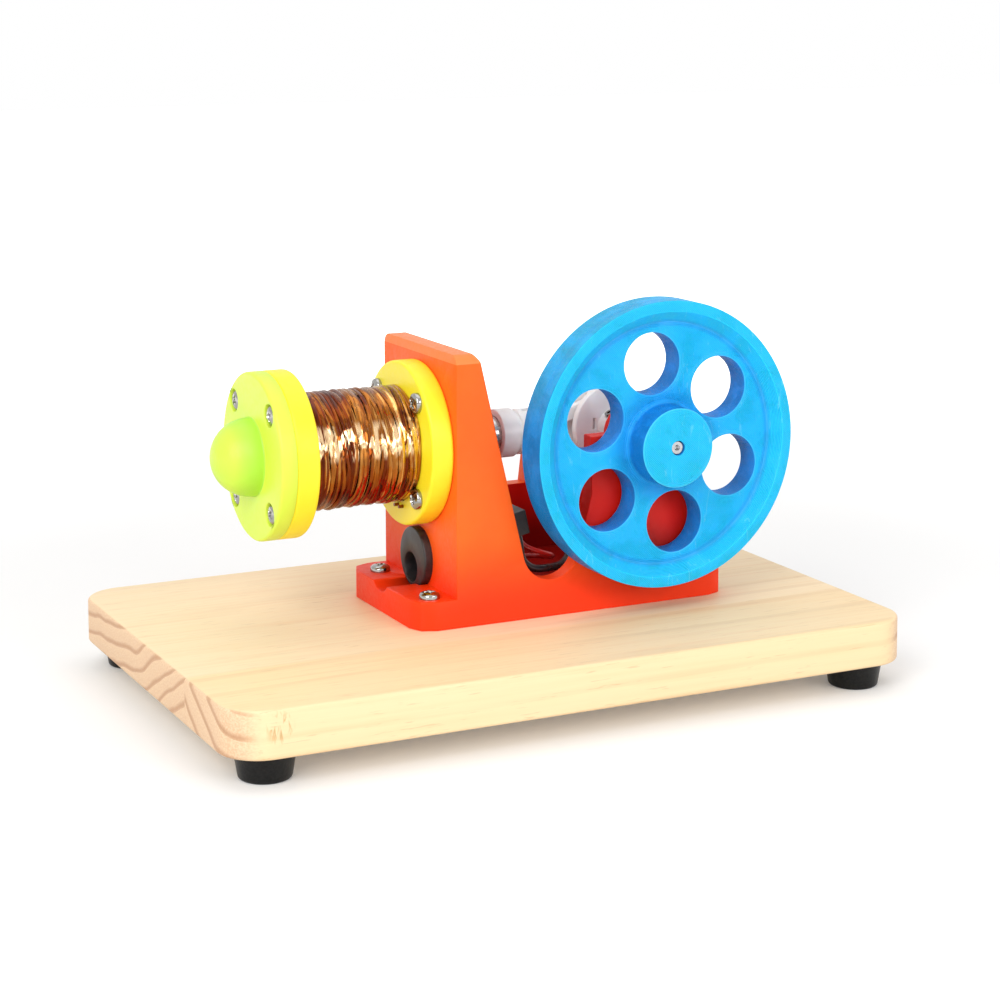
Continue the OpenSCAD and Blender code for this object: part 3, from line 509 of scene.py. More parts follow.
def pine():
    """Two glued pine staves: growth rings run through the board and show as bands on its ends."""
    made, nodes, shader = material("pine", Specular_IOR_Level=0.35)
    stave_seam = -30.0
    line_brown, fleck_brown = (0.66, 0.42, 0.20), (0.52, 0.31, 0.14)
    end_dark, end_pale, end_line = (0.80, 0.53, 0.32), (0.90, 0.66, 0.43), (0.50, 0.24, 0.12)
    scar_brown = (0.50, 0.27, 0.07)
    place = nodes.scaled(nodes.place(), TO_MM)
    x, y, z = nodes.split(place)

    def fibres(stretch, *settings):
        """Noise that is stretched differently along the three axes."""
        return nodes.noise(nodes.scaled(place, stretch), 1.0, *settings)

    warp = fibres((0.004, 0.03, 0.03), 2.0)
    fine = fibres((0.03, 0.9, 0.9), 3.0)
    lean = nodes.product(x, 0.03)

    def rings(centre_y, centre_z, spacing):
        from_pith = nodes.from_axis(nodes.math("SUBTRACT", y, centre_y), z, lean, centre_z)
        bent = nodes.math("MULTIPLY_ADD", warp, 11.0, from_pith)
        return nodes.math("FRACT", nodes.math("DIVIDE", bent, spacing))

    rear_stave = nodes.math("GREATER_THAN", y, stave_seam)
    ring = nodes.mixed(rear_stave, rings(-88.0, 108.0, 6.5), rings(58.0, 150.0, 5.2))
    late = nodes.ramp(ring, [
        (0.0, (0, 0, 0)), (0.62, (0.12, 0.12, 0.12)), (0.86, (1, 1, 1)), (0.95, (0.75, 0.75, 0.75)),
        (1.0, (0, 0, 0))], "EASE")
    end = nodes.steps(nodes.absolute(nodes.facing()[0]), 0.2, 0.75)

    # The long faces: two tones of early wood, faint late rings and short brown flecks.
    streak = fibres((0.012, 0.35, 0.35), 4.0, 0.6)
    rear_wood = nodes.ramp(streak, [
        (0.25, (0.93, 0.71, 0.44)), (0.5, (0.94, 0.75, 0.49)), (0.78, (0.90, 0.65, 0.39))])
    front_wood = nodes.ramp(streak, [
        (0.25, (0.93, 0.68, 0.39)), (0.5, (0.94, 0.72, 0.43)), (0.78, (0.90, 0.62, 0.34))])
    early = nodes.blend(rear_stave, front_wood, rear_wood)
    faint = nodes.steps(fibres((0.010, 0.03, 0.03), 2.0), 0.38, 0.66, 0.06, 0.34)
    line = nodes.product(late, nodes.math("MAXIMUM", faint, nodes.product(end, 0.85)))
    side = nodes.blend(nodes.product(line, 0.8), early, line_brown)
    flecked = nodes.product(nodes.steps(fibres((0.11, 1.5, 1.5), 2.0, 0.6), 0.62, 0.72), 0.30)
    side = nodes.blend(flecked, side, fleck_brown)

    # The ends: darker pores with strong late rings.
    pores = fibres((0.4, 2.2, 2.2), 2.0)
    end_wood = nodes.blend(nodes.steps(pores, 0.35, 0.7), end_dark, end_pale)
    end_wood = nodes.blend(nodes.product(line, 0.85), end_wood, end_line)
    whole = nodes.blend(end, side, end_wood)

    # A planer mark on the front left corner.
    corner = nodes.vector("SUBTRACT", place, (-87.5, -64.0, 15.5))
    mark = nodes.steps(nodes.length(nodes.scaled(corner, (0.20, 0.2, 0.17))), 0.9, 0.35)
    scar = nodes.product(mark, nodes.steps(fibres((0.85, 0.5, 0.22), 2.0, 0.6, 0.8), 0.5, 0.62))
    whole = nodes.blend(nodes.product(scar, 0.6), whole, scar_brown)
    height = nodes.math("MULTIPLY_ADD", fine, 0.6, nodes.product(scar, -3.0))
    fill(shader, Base_Color=whole, Normal=nodes.bump(height, 0.00012, 0.35),
         Roughness=nodes.steps(fine, 0.3, 0.7, 0.44, 0.58))
    return made


def rubber():
    """The feet's black rubber, with a fine matt grain."""
    made, nodes, shader = material("foot_rubber", Roughness=0.36, Specular_IOR_Level=0.22)
    place = nodes.place()
    shade = nodes.effect(CLOUDS, Place=place, Scale=1500.0, Dark=(0.004, 0.004, 0.004),
                         Light=(0.009, 0.009, 0.009))
    fill(shader, Base_Color=shade["Color"])
    roughen(nodes, place, shader, 1500.0, 0.00008, 0.5)
    return made


def white_plastic():
    """White print that lets a little light in."""
    made, nodes, shader = material(
        "white_print", Roughness=0.3, Specular_IOR_Level=0.5, Subsurface_Weight=0.25,
        Subsurface_Radius=(0.003, 0.0026, 0.0022), Subsurface_Scale=1.0)
    place = nodes.place()
    shade = nodes.effect(CLOUDS, Place=place, Scale=160.0, Dark=(0.88, 0.85, 0.83),
                         Light=(0.94, 0.92, 0.91))
    fill(shader, Base_Color=shade["Color"])
    roughen(nodes, place, shader, 1100.0, 0.00003, 0.4)
    return made


def bare_metal(name, colour, roughness, brush=(1, 1, 1), spread=0.08):
    """Bare metal with fine marks that are stretched along brush."""
    made, nodes, shader = material(name, Metallic=1.0)
    place = nodes.scaled(nodes.place(), tuple(b * 1000 for b in brush))
    marks = nodes.effect(MARKS, Place=place, Color=colour, Roughness=roughness, Spread=spread)
    fill(shader, Base_Color=marks["Color"], Roughness=marks["Roughness"], Normal=marks["Normal"])
    return made


def enamelled_copper():
    """Copper wire under amber enamel; a crinkled film of varnish ties the coil's turns together, and a
    painted band of glints runs along its front.
    """
    made, nodes, shader = material(
        "copper_wire", Metallic=1.0, Coat_Weight=0.2, Coat_Roughness=0.04)
    tone = nodes.add("ShaderNodeAttribute", attribute_name="tone").outputs["Fac"]
    place = nodes.place()
    stain = nodes.noise(nodes.scaled(place, (300, 90, 90)), 1.0, 3.0)
    shade = nodes.math("MULTIPLY_ADD", stain, 0.55, nodes.product(tone, 0.55))
    copper = nodes.ramp(shade, [
        (0.16, (0.05, 0.005, 0.001)), (0.38, (0.17, 0.028, 0.004)), (0.58, (0.40, 0.14, 0.020)),
        (0.84, (0.82, 0.49, 0.17)),
    ])
    x, y, z = nodes.split(place)
    outwards = nodes.vector("NORMALIZE", nodes.joined(
        0.0, nodes.math("SUBTRACT", y, AXIS_Y * MM), nodes.math("SUBTRACT", z, AXIS_Z * MM)))
    folds = nodes.add("ShaderNodeTexNoise", {
        "Vector": nodes.scaled(place, (430, 130, 130)), "Scale": 1.0, "Detail": 2.0,
    }).outputs["Color"]
    bent = nodes.scaled(nodes.vector("SUBTRACT", folds, (0.5, 0.5, 0.5)), (1.8, 1.3, 1.3))
    on_coil = nodes.math("LESS_THAN", x, COIL_RIGHT * MM)
    share = nodes.product(on_coil, nodes.steps(stain, 0.32, 0.5, 0.5, 0.95))
    bare = nodes.add("ShaderNodeNewGeometry").outputs["Normal"]
    film = nodes.add("ShaderNodeMix", {
        0: share, 4: bare, 5: nodes.vector("ADD", outwards, bent)}, data_type="VECTOR").outputs[1]
    fill(shader, Normal=nodes.vector("NORMALIZE", film),
         Roughness=nodes.steps(stain, 0.3, 0.7, 0.06, 0.16))
    # Painted highlight: a crinkled band of pale gold glints is painted along the coil's front, where the
    # front lamp's reflection falls.
    aim = math.radians(17)
    towards = nodes.split(outwards)
    facing = nodes.math("MULTIPLY_ADD", towards[2], math.sin(aim),
                        nodes.math("MULTIPLY", towards[1], -math.cos(aim)))
    glint_shard = nodes.noise(nodes.scaled(place, (480, 120, 120)), 1.0, 2.0, 0.6, 0.8)
    painted_glint_band = nodes.product(
        nodes.steps(facing, 0.93, 0.985), nodes.steps(glint_shard, 0.47, 0.55), on_coil, 0.9)
    fill(shader, Base_Color=nodes.blend(painted_glint_band, copper, (0.98, 0.68, 0.38)))
    return made


def moulded(name, dark, light, roughness, coat=0.0):
    """Moulded plastic or wire insulation with a slight unevenness."""
    made, nodes, shader = material(name, Coat_Weight=coat)
    place = nodes.place()
    shade = nodes.effect(CLOUDS, Place=place, Scale=420.0, Dark=dark, Light=light)
    fill(shader, Base_Color=shade["Color"],
         Roughness=nodes.mixed(shade["Share"], roughness - 0.05, roughness + 0.07))
    roughen(nodes, place, shader, 1300.0, 0.00004, 0.35)
    return made


MATERIALS = {
    "pine": pine(),
    "foot_rubber": rubber(),
    "orange_print": orange_plastic(),
    "yellow_print": printed_plastic("yellow_print", (1.0, 0.87, 0.025), (0.98, 0.80, 0.018), 0.4, 0, 0.1),
    "green_print": green_plastic(),
    "blue_print": wheel_plastic(),
    "white_print": white_plastic(),
    "copper_wire": enamelled_copper(),
    "plunger_steel": bare_metal("plunger_steel", (0.56, 0.55, 0.54), 0.26, (0.05, 1, 1)),
    "shaft_steel": bare_metal("shaft_steel", (0.46, 0.46, 0.47), 0.2, (1, 0.1, 1)),
    "screw_steel": bare_metal("screw_steel", (0.40, 0.39, 0.37), 0.13, (1, 1, 1), 0.04),
    "bush_bronze": bare_metal("bush_bronze", (0.72, 0.48, 0.22), 0.32, (1, 0.2, 1)),
    "socket_black": moulded("socket_black", (0.016, 0.014, 0.015), (0.03, 0.027, 0.028), 0.4),
    "red_insulation": moulded("red_insulation", (0.50, 0.010, 0.008), (0.64, 0.02, 0.015), 0.3, 0.3),
    "black_insulation": moulded("black_insulation", (0.010, 0.010, 0.010), (0.02, 0.02, 0.021), 0.3, 0.3),
}


# ---- Mesh helpers ----

def piece(name, bm, body, slot, replaced=(), sharp=38):
    """Makes a finished piece of a bmesh in millimetres, riding on its body."""
    bmesh.ops.scale(bm, vec=(MM, MM, MM), verts=bm.verts)
    bmesh.ops.remove_doubles(bm, verts=bm.verts, dist=1e-6)
    bmesh.ops.recalc_face_normals(bm, faces=bm.faces)
    mesh = bpy.data.meshes.new(name)
    bm.to_mesh(mesh)
    bm.free()
    mesh.shade_smooth()
    mesh.set_sharp_from_angle(angle=math.radians(sharp))
    mesh.materials.append(MATERIALS[slot])
    made = bpy.data.objects.new(name, mesh)
    bpy.context.scene.collection.objects.link(made)
    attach(made, body)
    if replaced:
        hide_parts(*replaced)
    return made


def dress(node, slot):
    """Gives a CAD node that stays its finished material."""
    made = frame["nodes"][node]
    made.data.materials.clear()
    made.data.materials.append(MATERIALS[slot])


def softened(node, body, slot, width):
    """A copy of a CAD node whose outer edges are rounded by width."""
    merge, edge_angle = 0.002, math.radians(35)
    bm = bmesh.new()
    bm.from_mesh(frame["nodes"][node].data)
    bmesh.ops.scale(bm, vec=TO_MM, verts=bm.verts)
    bmesh.ops.remove_doubles(bm, verts=bm.verts, dist=merge)
    bmesh.ops.dissolve_degenerate(bm, dist=merge, edges=bm.edges)
    bmesh.ops.dissolve_limit(
        bm, angle_limit=math.radians(0.6), verts=bm.verts, edges=bm.edges, use_dissolve_boundaries=False)
    # A face that runs round a hole folds over itself in the bevel unless it is cut up first.
    many_sided = [f for f in bm.faces if len(f.verts) > 6]
    bmesh.ops.triangulate(bm, faces=many_sided, quad_method="BEAUTY", ngon_method="BEAUTY")
    sharp = [e for e in bm.edges if len(e.link_faces) == 2 and e.is_convex
             and e.calc_face_angle(0) > edge_angle]
    bmesh.ops.bevel(
        bm, geom=sharp, offset=width, offset_type="OFFSET", segments=2, profile=0.5,
        affect="EDGES", clamp_overlap=False, material=-1)
    return piece(node + "_piece", bm, body, slot, (node,), 20)


AXES = {"X": (1, 0, 0), "Y": (0, 1, 0), "Z": (0, 0, 1)}


def axis_place(axis, centre, h, a, b):
    """A point h along the axis from the centre, with a and b across it."""
    cx, cy, cz = centre
    if axis == "X":
        return (cx + h, cy + a, cz + b)
    if axis == "Y":
        return (cx + a, cy + h, cz + b)
    return (cx + a, cy + b, cz + h)


def spun(bm, axis, centre, profile, segments, off=(0.0, 0.0)):
    """Spins a profile of (radius, distance along the axis) once round; off moves the spin's centre."""
    verts = [bm.verts.new(axis_place(axis, centre, h, off[0] + r, off[1])) for r, h in profile]
    edges = [bm.edges.new(pair) for pair in zip(verts, verts[1:])]
    bmesh.ops.spin(
        bm, geom=verts + edges, cent=axis_place(axis, centre, 0, *off), axis=AXES[axis],
        angle=math.tau, steps=segments, use_merge=True)


def rounded(points, radius, steps=4):
    """An open profile whose inner corners are rounded by radius."""
    out = [points[0]]
    for before, corner, after in zip(points, points[1:], points[2:]):
        a, b = Vector(before) - Vector(corner), Vector(after) - Vector(corner)
        r = min(radius, a.length * 0.45, b.length * 0.45)
        start, end = Vector(corner) + a.normalized() * r, Vector(corner) + b.normalized() * r
        for i in range(steps + 1):
            t = i / steps
            out.append(tuple((1 - t) ** 2 * start + 2 * t * (1 - t) * Vector(corner) + t * t * end))
    out.append(points[-1])
    return out


def fill_flat(bm, axis, distance):
    """Fills the flat face between all the open edges that lie at one distance along an axis."""
    i = "XYZ".index(axis)
    bmesh.ops.remove_doubles(bm, verts=bm.verts, dist=1e-4)
    rims = [e for e in bm.edges if e.is_boundary and all(abs(v.co[i] - distance) < 1e-3 for v in e.verts)]
    bmesh.ops.triangle_fill(bm, edges=rims, use_beauty=True, use_dissolve=False, normal=AXES[axis])


def ring_spots(count, first, radius):
    """The middles of equally spaced holes on a circle."""
    angles = [first + math.tau * i / count for i in range(count)]
    return [(radius * math.cos(a), radius * math.sin(a)) for a in angles]


def joined(bm, other):
    """Adds another bmesh to this one."""
    spare = bpy.data.meshes.new("spare")
    other.to_mesh(spare)
    other.free()
    bm.from_mesh(spare)
    bpy.data.meshes.remove(spare)


def tube(bm, points, diameter, sides, tones):
    """A tube of round section along points, with frames carried along so that it never twists."""
    layer = bm.verts.layers.float.new("tone")
    points = [Vector(p) for p in points]
    last = len(points) - 1
    tangents = [(points[min(i + 1, last)] - points[max(i - 1, 0)]).normalized() for i in range(last + 1)]
    normal = tangents[0].orthogonal().normalized()
    rings = []
    for point, tangent, tone in zip(points, tangents, tones):
        normal = (normal - tangent * normal.dot(tangent)).normalized()
        side = tangent.cross(normal)
        ring = []
        for k in range(sides):
            a = math.tau * k / sides
            vertex = bm.verts.new(point + (normal * math.cos(a) + side * math.sin(a)) * diameter / 2)
            vertex[layer] = tone
            ring.append(vertex)
        rings.append(ring)
    for a, b in zip(rings, rings[1:]):
        for k in range(sides):
            m = (k + 1) % sides
            bm.faces.new((a[k], a[m], b[m], b[k]))
    bm.faces.new(rings[0])
    bm.faces.new(rings[-1])


def smooth_route(points, steps):
    """The same smooth curve through chosen points that the CAD leads follow."""
    out = [Vector(points[0])]
    count = len(points)
    for i in range(count - 1):
        a, b, c, d = (Vector(points[min(max(k, 0), count - 1)]) for k in (i - 1, i, i + 1, i + 2))
        for s in range(1, steps + 1):
            t = s / steps
            out.append(0.5 * (2 * b + (c - a) * t + (2 * a - 5 * b + 4 * c - d) * t * t
                              + (3 * b - a - 3 * c + d) * t ** 3))
    return out


# ---- Board and feet ----

def board():
    """The board with fully rounded corners and softened edges."""
    length, width, thick, foot, corner, edge = 200.0, 130.0, 12.6, 7.5, 11.5, 1.0
    bm = bmesh.new()
    place = Matrix.Translation((0, 0, foot + thick / 2)) @ Matrix.Diagonal((length, width, thick, 1))
    bmesh.ops.create_cube(bm, size=1, matrix=place)
    upright = [e for e in bm.edges if abs(e.verts[0].co.z - e.verts[1].co.z) > 1]
    bmesh.ops.bevel(bm, geom=upright, offset=corner, segments=20, profile=0.5, affect="EDGES", material=-1)
    level = [e for e in bm.edges if e.calc_face_angle(0) > 1]
    bmesh.ops.bevel(bm, geom=level, offset=edge, segments=6, profile=0.5, affect="EDGES", material=-1)
    piece("board_piece", bm, "stand", "pine", ("base_board",), 50)


def feet():
    """Four turned rubber feet, each with a rounded rim and a sunk middle for its screw."""
    profile = [(1.55, 7.5), (7.85, 7.5), (8.0, 7.35), (8.0, 6.9), (7.86, 6.6), (6.95, 1.1)]
    profile += [(6.0 + 0.9 * math.cos(a), 0.9 - 0.9 * math.sin(a))
                for a in (math.radians(d) for d in (15, 35, 55, 75, 90))]
    profile += [(3.45, 0.0), (3.15, 0.3), (3.15, 2.6), (1.55, 2.6), (1.55, 7.5)]
    for row, y in (("front", -54), ("rear", 54)):
        for side, x in (("left", -87.5), ("right", 87.5)):
            node = "rubber_foot_%s_%s" % (row, side)
            bm = bmesh.new()
            spun(bm, "Z", (x, y, 0), profile, 72)
            piece(node + "_piece", bm, "stand", "foot_rubber", (node,))


# ---- Screws ----

def pan_head():
    """A pan head with a cross recess pressed into its crown, standing on the origin."""
    radius, height, rings = 2.85, 1.9, 22
    crown, recess = height * 0.55, 0.95
    arm_reach, arm_half, bowl_r = 1.25, 0.26, 0.5
    bm = bmesh.new()
    top = [(radius * i / rings, height) for i in range(rings + 1)]
    spun(bm, "Z", (0, 0, 0), top + [(radius, 0), (0, 0)], 64)
    bmesh.ops.remove_doubles(bm, verts=bm.verts, dist=1e-4)
    for vertex in bm.verts:
        x, y, z = vertex.co
        if z < height * 0.5:
            continue
        r = math.hypot(x, y)
        arm, across = max(abs(x), abs(y)), min(abs(x), abs(y))
        reach = 1 - min(1, max(0, (arm - arm_reach) / 0.25))
        slot = 1 - min(1, max(0, (across - arm_half) / 0.12))
        bowl = 1 - min(1, max(0, (r - bowl_r) / 0.3))
        dome = crown * (1 - math.sqrt(max(0.0, 1 - min(1, r / radius) ** 2.6)))
        vertex.co.z = z - dome - recess * max(slot * reach * (1 - 0.25 * r), bowl)
    return bm


def screw_group(name, node, spots, tilt):
    """A set of pan head screws; spots are their seats and tilt turns +Z to the head's direction."""
    bm = bmesh.new()
    dice = random.Random(name)
    for spot in spots:
        head = pan_head()
        spin = Matrix.Rotation(dice.uniform(0, math.pi / 2), 4, "Z")
        bmesh.ops.transform(head, matrix=Matrix.Translation(spot) @ tilt @ spin, verts=head.verts)
        joined(bm, head)
    piece(name, bm, "stand", "screw_steel", (node,), 32)


def coil_screw_spots(x):
    return [
        (x, AXIS_Y + COIL_SCREW_R * math.cos(a), AXIS_Z + COIL_SCREW_R * math.sin(a))
        for a in (math.radians(d) for d in (45, 135, 225, 315))
    ]


def screws():
    to_left = Matrix.Rotation(math.radians(-90), 4, "Y")
    upright = Matrix.Identity(4)
    base_top = DECK + 8.1
    screw_group("frame_screws_piece", "frame_screws",
                [(x, y, base_top) for x in (-24.4, 63.4) for y in (-14.5, 19.1)], upright)
    screw_group("end_cap_screws_piece", "end_cap_screws", coil_screw_spots(CAP_SEAT), to_left)
    screw_group("bobbin_screws_piece", "bobbin_screws", coil_screw_spots(COIL_RIGHT), to_left)


# ---- Coil ----

def bobbin():
    """Two flanges on a tube, as one turned piece."""
    edge, bore = 0.9, 5.05
    left = [(CORE_R, COIL_LEFT), (FLANGE_R, COIL_LEFT), (FLANGE_R, BOBBIN_LEFT), (bore, BOBBIN_LEFT)]
    right = [(bore, BOBBIN_RIGHT), (FLANGE_R, BOBBIN_RIGHT), (FLANGE_R, COIL_RIGHT), (CORE_R, COIL_RIGHT)]
    bm = bmesh.new()
    profile = rounded(right, edge) + rounded(left, edge) + [(bore, BOBBIN_RIGHT)]
    spun(bm, "X", (0, AXIS_Y, AXIS_Z), profile, FINE_SPIN)
    piece("bobbin_piece", bm, "stand", "yellow_print", ("bobbin",))


def quarter_round(steps):
    """The sine and cosine of evenly spaced angles from nought to a right angle."""
    return [(math.sin(a), math.cos(a)) for a in (math.pi / 2 * k / steps for k in range(steps + 1))]


def end_cap():
    """The disc with its domed nose and four counterbored screws."""
    centre = (0, AXIS_Y, AXIS_Z)
    nose_root, fillet, inner, outer, round_r = -68.9, 0.5, 12.6, 22.1, 0.9
    well_r, screw_r, step_r, step = 3.15, 1.6, 6.05, 4.6
    bm = bmesh.new()
    nose = [(NOSE_R * s, nose_root - NOSE_R * c) for s, c in quarter_round(24)]
    foot = [(11.2 - fillet * c, CAP_FACE - fillet + fillet * s) for s, c in quarter_round(4)]
    spun(bm, "X", centre, nose + foot + [(inner, CAP_FACE)], FINE_SPIN)
    rim = [(outer + round_r * s, CAP_FACE + round_r - round_r * c) for s, c in quarter_round(6)]
    back = [(FLANGE_R, BOBBIN_LEFT - 0.3), (FLANGE_R - 0.2, BOBBIN_LEFT), (step_r, BOBBIN_LEFT),
            (step_r, BOBBIN_LEFT - step), (0, BOBBIN_LEFT - step)]
    spun(bm, "X", centre, rim + back, FINE_SPIN)
    well = [(3.6, CAP_FACE), (3.4, CAP_FACE), (3.22, CAP_FACE + 0.08), (well_r, CAP_FACE + 0.25),
            (well_r, CAP_SEAT), (screw_r, CAP_SEAT)]
    for spot in ring_spots(4, math.radians(45), COIL_SCREW_R):
        spun(bm, "X", centre, well, 64, spot)
    fill_flat(bm, "X", CAP_FACE)
    piece("end_cap_piece", bm, "stand", "green_print", ("end_cap",))


def winding():
    """One wire in three uneven layers, whose turns lean and cross as hand-wound turns do."""
    wire_d, steps = 0.86, 60
    low, high = COIL_LEFT + wire_d * 0.6, COIL_RIGHT - wire_d * 0.6
    dice = random.Random(7)
    path, tones = [], []

    def layer(turns, radius, start, end, sway, lift):
        """Adds one layer; each turn has its own width, lean and shade, carried over to the next."""
        marks = [0.0]
        for _ in range(turns):
            marks.append(marks[-1] + dice.uniform(0.5, 1.5))
        marks.append(marks[-1])
        leans = [(dice.uniform(-sway, sway), dice.uniform(-sway, sway), dice.uniform(-sway, sway) * 0.4)
                 for _ in range(turns + 2)]
        leans[0] = leans[turns] = (0.0, 0.0, 0.0)
        shades = [dice.random() ** 1.3 for _ in range(turns + 2)]
        for i in range(turns * steps):
            turn, part = divmod(i, steps)
            share = part / steps
            angle = math.tau * share

            def between(row):
                return row[turn] * (1 - share) + row[turn + 1] * share

            p, q, w = (between([lean[k] for lean in leans]) for k in range(3))
            x = start + (end - start) * between(marks) / marks[-1]
            x += p * math.cos(angle) + q * math.sin(angle) + w * math.sin(3 * angle)
            r = radius + lift * noise.noise(Vector((angle * 1.7, turn * 0.83, radius)))
            x = min(max(x, low), high)
            path.append((x, AXIS_Y + r * math.cos(angle), AXIS_Z + r * math.sin(angle)))
            tones.append(between(shades))

    layer(40, 15.05, low, high, 0.10, 0.05)
    layer(32, 15.45, high, low, 0.9, 0.30)
    layer(28, 15.85, low, high, 1.5, 0.55)
    bm = bmesh.new()
    tube(bm, path, wire_d, 7, tones)
    piece("winding_piece", bm, "stand", "copper_wire", ("winding",), 80)


def winding_core():
    """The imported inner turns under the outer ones: a ribbed copper drum."""
    steps, drum_r, rib = 240, 14.86, 0.12
    profile = [(CORE_R, COIL_LEFT)]
    for k in range(steps + 1):
        x = COIL_LEFT + (COIL_RIGHT - COIL_LEFT) * k / steps
        profile.append((drum_r + rib * math.cos(math.tau * k / 4), x))
    profile.append((CORE_R, COIL_RIGHT))
    bm = bmesh.new()
    spun(bm, "X", (0, AXIS_Y, AXIS_Z), profile, 96)
    piece("winding_core_piece", bm, "stand", "copper_wire", ("winding_core",), 60)


# ---- Flywheel ----

def flywheel():
    """The wheel with its sloped recess, boss and six round holes."""
    centre = (SHAFT_X, 0, AXIS_Z)
    rear, rim, boss = -20.7, -31.6, -36.6
    bore, lip, chamfer, fillet, fillet_r = 2.05, 0.3, 0.09, 1.4, 12.5
    slope_r, rim_r = 37.2, 40.2
    bm = bmesh.new()
    hub = rounded([(bore, boss), (BOSS_R, boss), (BOSS_R, WEB_Y)], 0.45)[:-1]
    hub += [(fillet_r - fillet * c, WEB_Y - fillet + fillet * s) for s, c in quarter_round(6)]
    spun(bm, "Y", centre, hub, WHEEL_SPIN)
    tread = [(RECESS_R, WEB_Y), (slope_r, rim), (rim_r, rim), (rim_r, rear), (RECESS_R, rear)]
    spun(bm, "Y", centre, rounded(tread, 0.6), WHEEL_SPIN)
    spun(bm, "Y", centre, [(fillet_r, rear), (bore, rear), (bore, boss)], WHEEL_SPIN)
    wall = [(HOLE_R + lip * 2, WEB_Y), (HOLE_R + lip, WEB_Y), (HOLE_R + chamfer, WEB_Y + chamfer),
            (HOLE_R, WEB_Y + lip), (HOLE_R, rear - lip), (HOLE_R + chamfer, rear - chamfer),
            (HOLE_R + lip, rear), (HOLE_R + lip * 2, rear)]
    for spot in ring_spots(HOLES, HOLE_TURN, HOLE_CIRCLE):
        spun(bm, "Y", centre, wall, 96, spot)
    fill_flat(bm, "Y", WEB_Y)
    fill_flat(bm, "Y", rear)
    piece("flywheel_piece", bm, "crankshaft", "blue_print", ("flywheel",), 30)


def front_shaft():
    """The shaft that carries the flywheel, chamfered and centre-drilled at its end."""
    bm = bmesh.new()
    end, back, r = -36.0, 2.9, 2.0
    profile = [(0, end + 1.0), (0.35, end + 0.9), (0.85, end), (r - 0.3, end), (r, end + 0.3),
               (r, back - 0.2), (r - 0.2, back), (0, back)]
    spun(bm, "Y", (SHAFT_X, 0, AXIS_Z), profile, 64)
    piece("front_shaft_piece", bm, "crankshaft", "shaft_steel", ("front_shaft",), 25)


# ---- Power socket ----

def socket_bezel():
    """The socket's round black face with its off-centre plug hole."""
    face_r, hole_r, edge, segments = 8.6, 4.2, 0.5, 96
    front = -20.8
    centre = (0, AXIS_Y, DECK + SOCKET_RISE)
    middle = (PLUG_OFF * math.cos(PLUG_AIM), PLUG_OFF * math.sin(PLUG_AIM))
    bm = bmesh.new()
    skirt = [(face_r, BOBBIN_RIGHT)]
    skirt += [(face_r - edge + edge * c, front + edge - edge * s) for s, c in quarter_round(4)]
    spun(bm, "X", centre, skirt, segments)
    hole = [(hole_r + 0.4, front), (hole_r + 0.12, front + 0.12), (hole_r, front + 0.4),
            (hole_r, BOBBIN_RIGHT)]
    spun(bm, "X", centre, hole, segments, middle)
    fill_flat(bm, "X", front)
    fill_flat(bm, "X", BOBBIN_RIGHT)
    piece("socket_bezel_piece", bm, "stand", "socket_black", ("socket_bezel",), 35)


# ---- Leads ----

DRIVER_Z, DRIVER_H = 21.5, 7.0
PLUG_Y = AXIS_Y + PLUG_OFF * math.cos(PLUG_AIM)
PLUG_Z = SOCKET_RISE + PLUG_OFF * math.sin(PLUG_AIM)


def slope_x(z):
    """The tower's right face at a height above the board's top."""
    return TOWER_TOP_X + (TOWER_Z - z) * SLOPE


def driver_spot(u, w, y):
    """A place on the driver block, which leans with that face: u out of it, w up along it."""
    return (slope_x(DRIVER_Z) + u * math.cos(SLOPE_ANGLE) - w * math.sin(SLOPE_ANGLE), y,
            DRIVER_Z + u * math.sin(SLOPE_ANGLE) + w * math.cos(SLOPE_ANGLE))


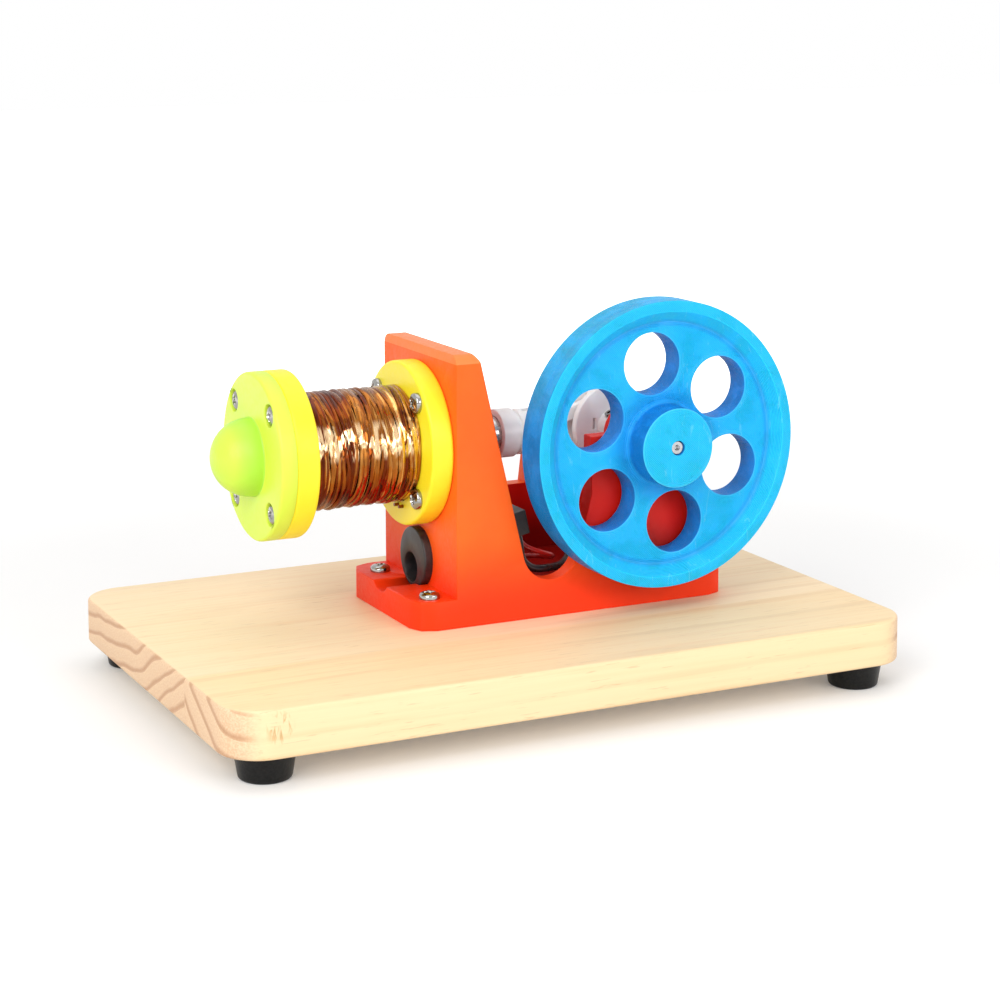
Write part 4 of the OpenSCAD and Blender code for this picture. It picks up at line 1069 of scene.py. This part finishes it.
def lead_routes():
    """The leads' routes, as the part's source has them, above the board's top."""
    d, end_x = 1.5, 10.6
    red = [driver_spot(4.6, 0, -7)] + smooth_route([
        driver_spot(4.6, -d, -7), (8.5, -7.4, 17.5), (13.5, -7.6, 15.2), (17.6, -6, 13.6),
        (19.2, -2.6, 12.2), (17.6, 1.6, 11.6), (14.4, PLUG_Y - 3, PLUG_Z),
        (end_x + d, PLUG_Y - 3, PLUG_Z)], 8) + [(end_x, PLUG_Y - 3, PLUG_Z)]
    ground = [driver_spot(1.6, 0, -7)] + smooth_route([
        driver_spot(1.6, -d, -7), (4, -6, 15), (6.6, -3, 11.4), (10, 1, 9.6), (14, 6, 9.6),
        (15.4, 8.6, 10.8), (end_x + d, PLUG_Y + 3, PLUG_Z)], 8) + [(end_x, PLUG_Y + 3, PLUG_Z)]
    post_x, post_y, thick = 36.8, 14.9, 2.2
    sensor = [driver_spot(3, 0, -12)] + smooth_route([
        driver_spot(3, -thick, -12), (5.4, -11.8, 15), (8.6, -11.6, 12.2), (13, -11.4, 11.6),
        (18, -10.4, 11.8), (22.4, -7, 13.4), (26, 0, 15.4), (29, 8, 17), (32, 13.2, 19.2),
        (post_x - thick, post_y, 20.4)], 8) + [(post_x, post_y, 20.4)]
    winding_r, winding_wire, clear = 15, 0.82, 1.6
    z = AXIS_RISE - winding_r - winding_wire - clear
    coil = []
    for y, end_y, u in ((AXIS_Y - 3, -11.7, 1.4), (AXIS_Y, -7.7, 3.8)):
        coil.append([(-26.3, y, z), (BOBBIN_RIGHT, y, z)] + smooth_route([
            (slope_x(z) + 0.2, y, z), (slope_x(z) + u, y, z), (slope_x(z) + u + 1.6, (y + end_y) / 2, z + 1),
            driver_spot(u + 0.4, DRIVER_H + 1.2, end_y)], 8) + [driver_spot(u + 0.4, DRIVER_H, end_y)])
    return {
        "red_lead": (red, 1.5, "red_insulation"),
        "ground_lead": (ground, 1.5, "black_insulation"),
        "sensor_lead": (sensor, 2.2, "black_insulation"),
        "coil_lead_inner": (coil[0], 1.0, "copper_wire"),
        "coil_lead_outer": (coil[1], 1.0, "copper_wire"),
    }


def leads():
    """The five fixed leads, as round tubes along the CAD's own routes."""
    for node, (route, diameter, slot) in lead_routes().items():
        route = [Vector(p) + Vector((0, 0, DECK)) for p in route]
        bm = bmesh.new()
        tube(bm, route, diameter, 16, [0.4] * len(route))
        made = piece(node + "_piece", bm, "stand", slot, (node,), 60)


# ---- Build ----

photo_camera()
studio()
leads()
board()
feet()
screws()
bobbin()
end_cap()
winding_core()
winding()
flywheel()
front_shaft()
socket_bezel()

softened("frame", "stand", "orange_print", 0.3)
softened("plunger_head", "plunger_assembly", "white_print", 0.3)
softened("connecting_rod", "rod", "white_print", 0.3)
softened("front_crank_disc", "crankshaft", "white_print", 0.3)
softened("rear_crank_disc", "crankshaft", "white_print", 0.3)
softened("driver_module", "stand", "socket_black", 0.4)
softened("timing_sensor", "stand", "socket_black", 0.4)

for entry in frame["record"]["subparts"]:
    dress(entry["node"], entry["material_slot"])
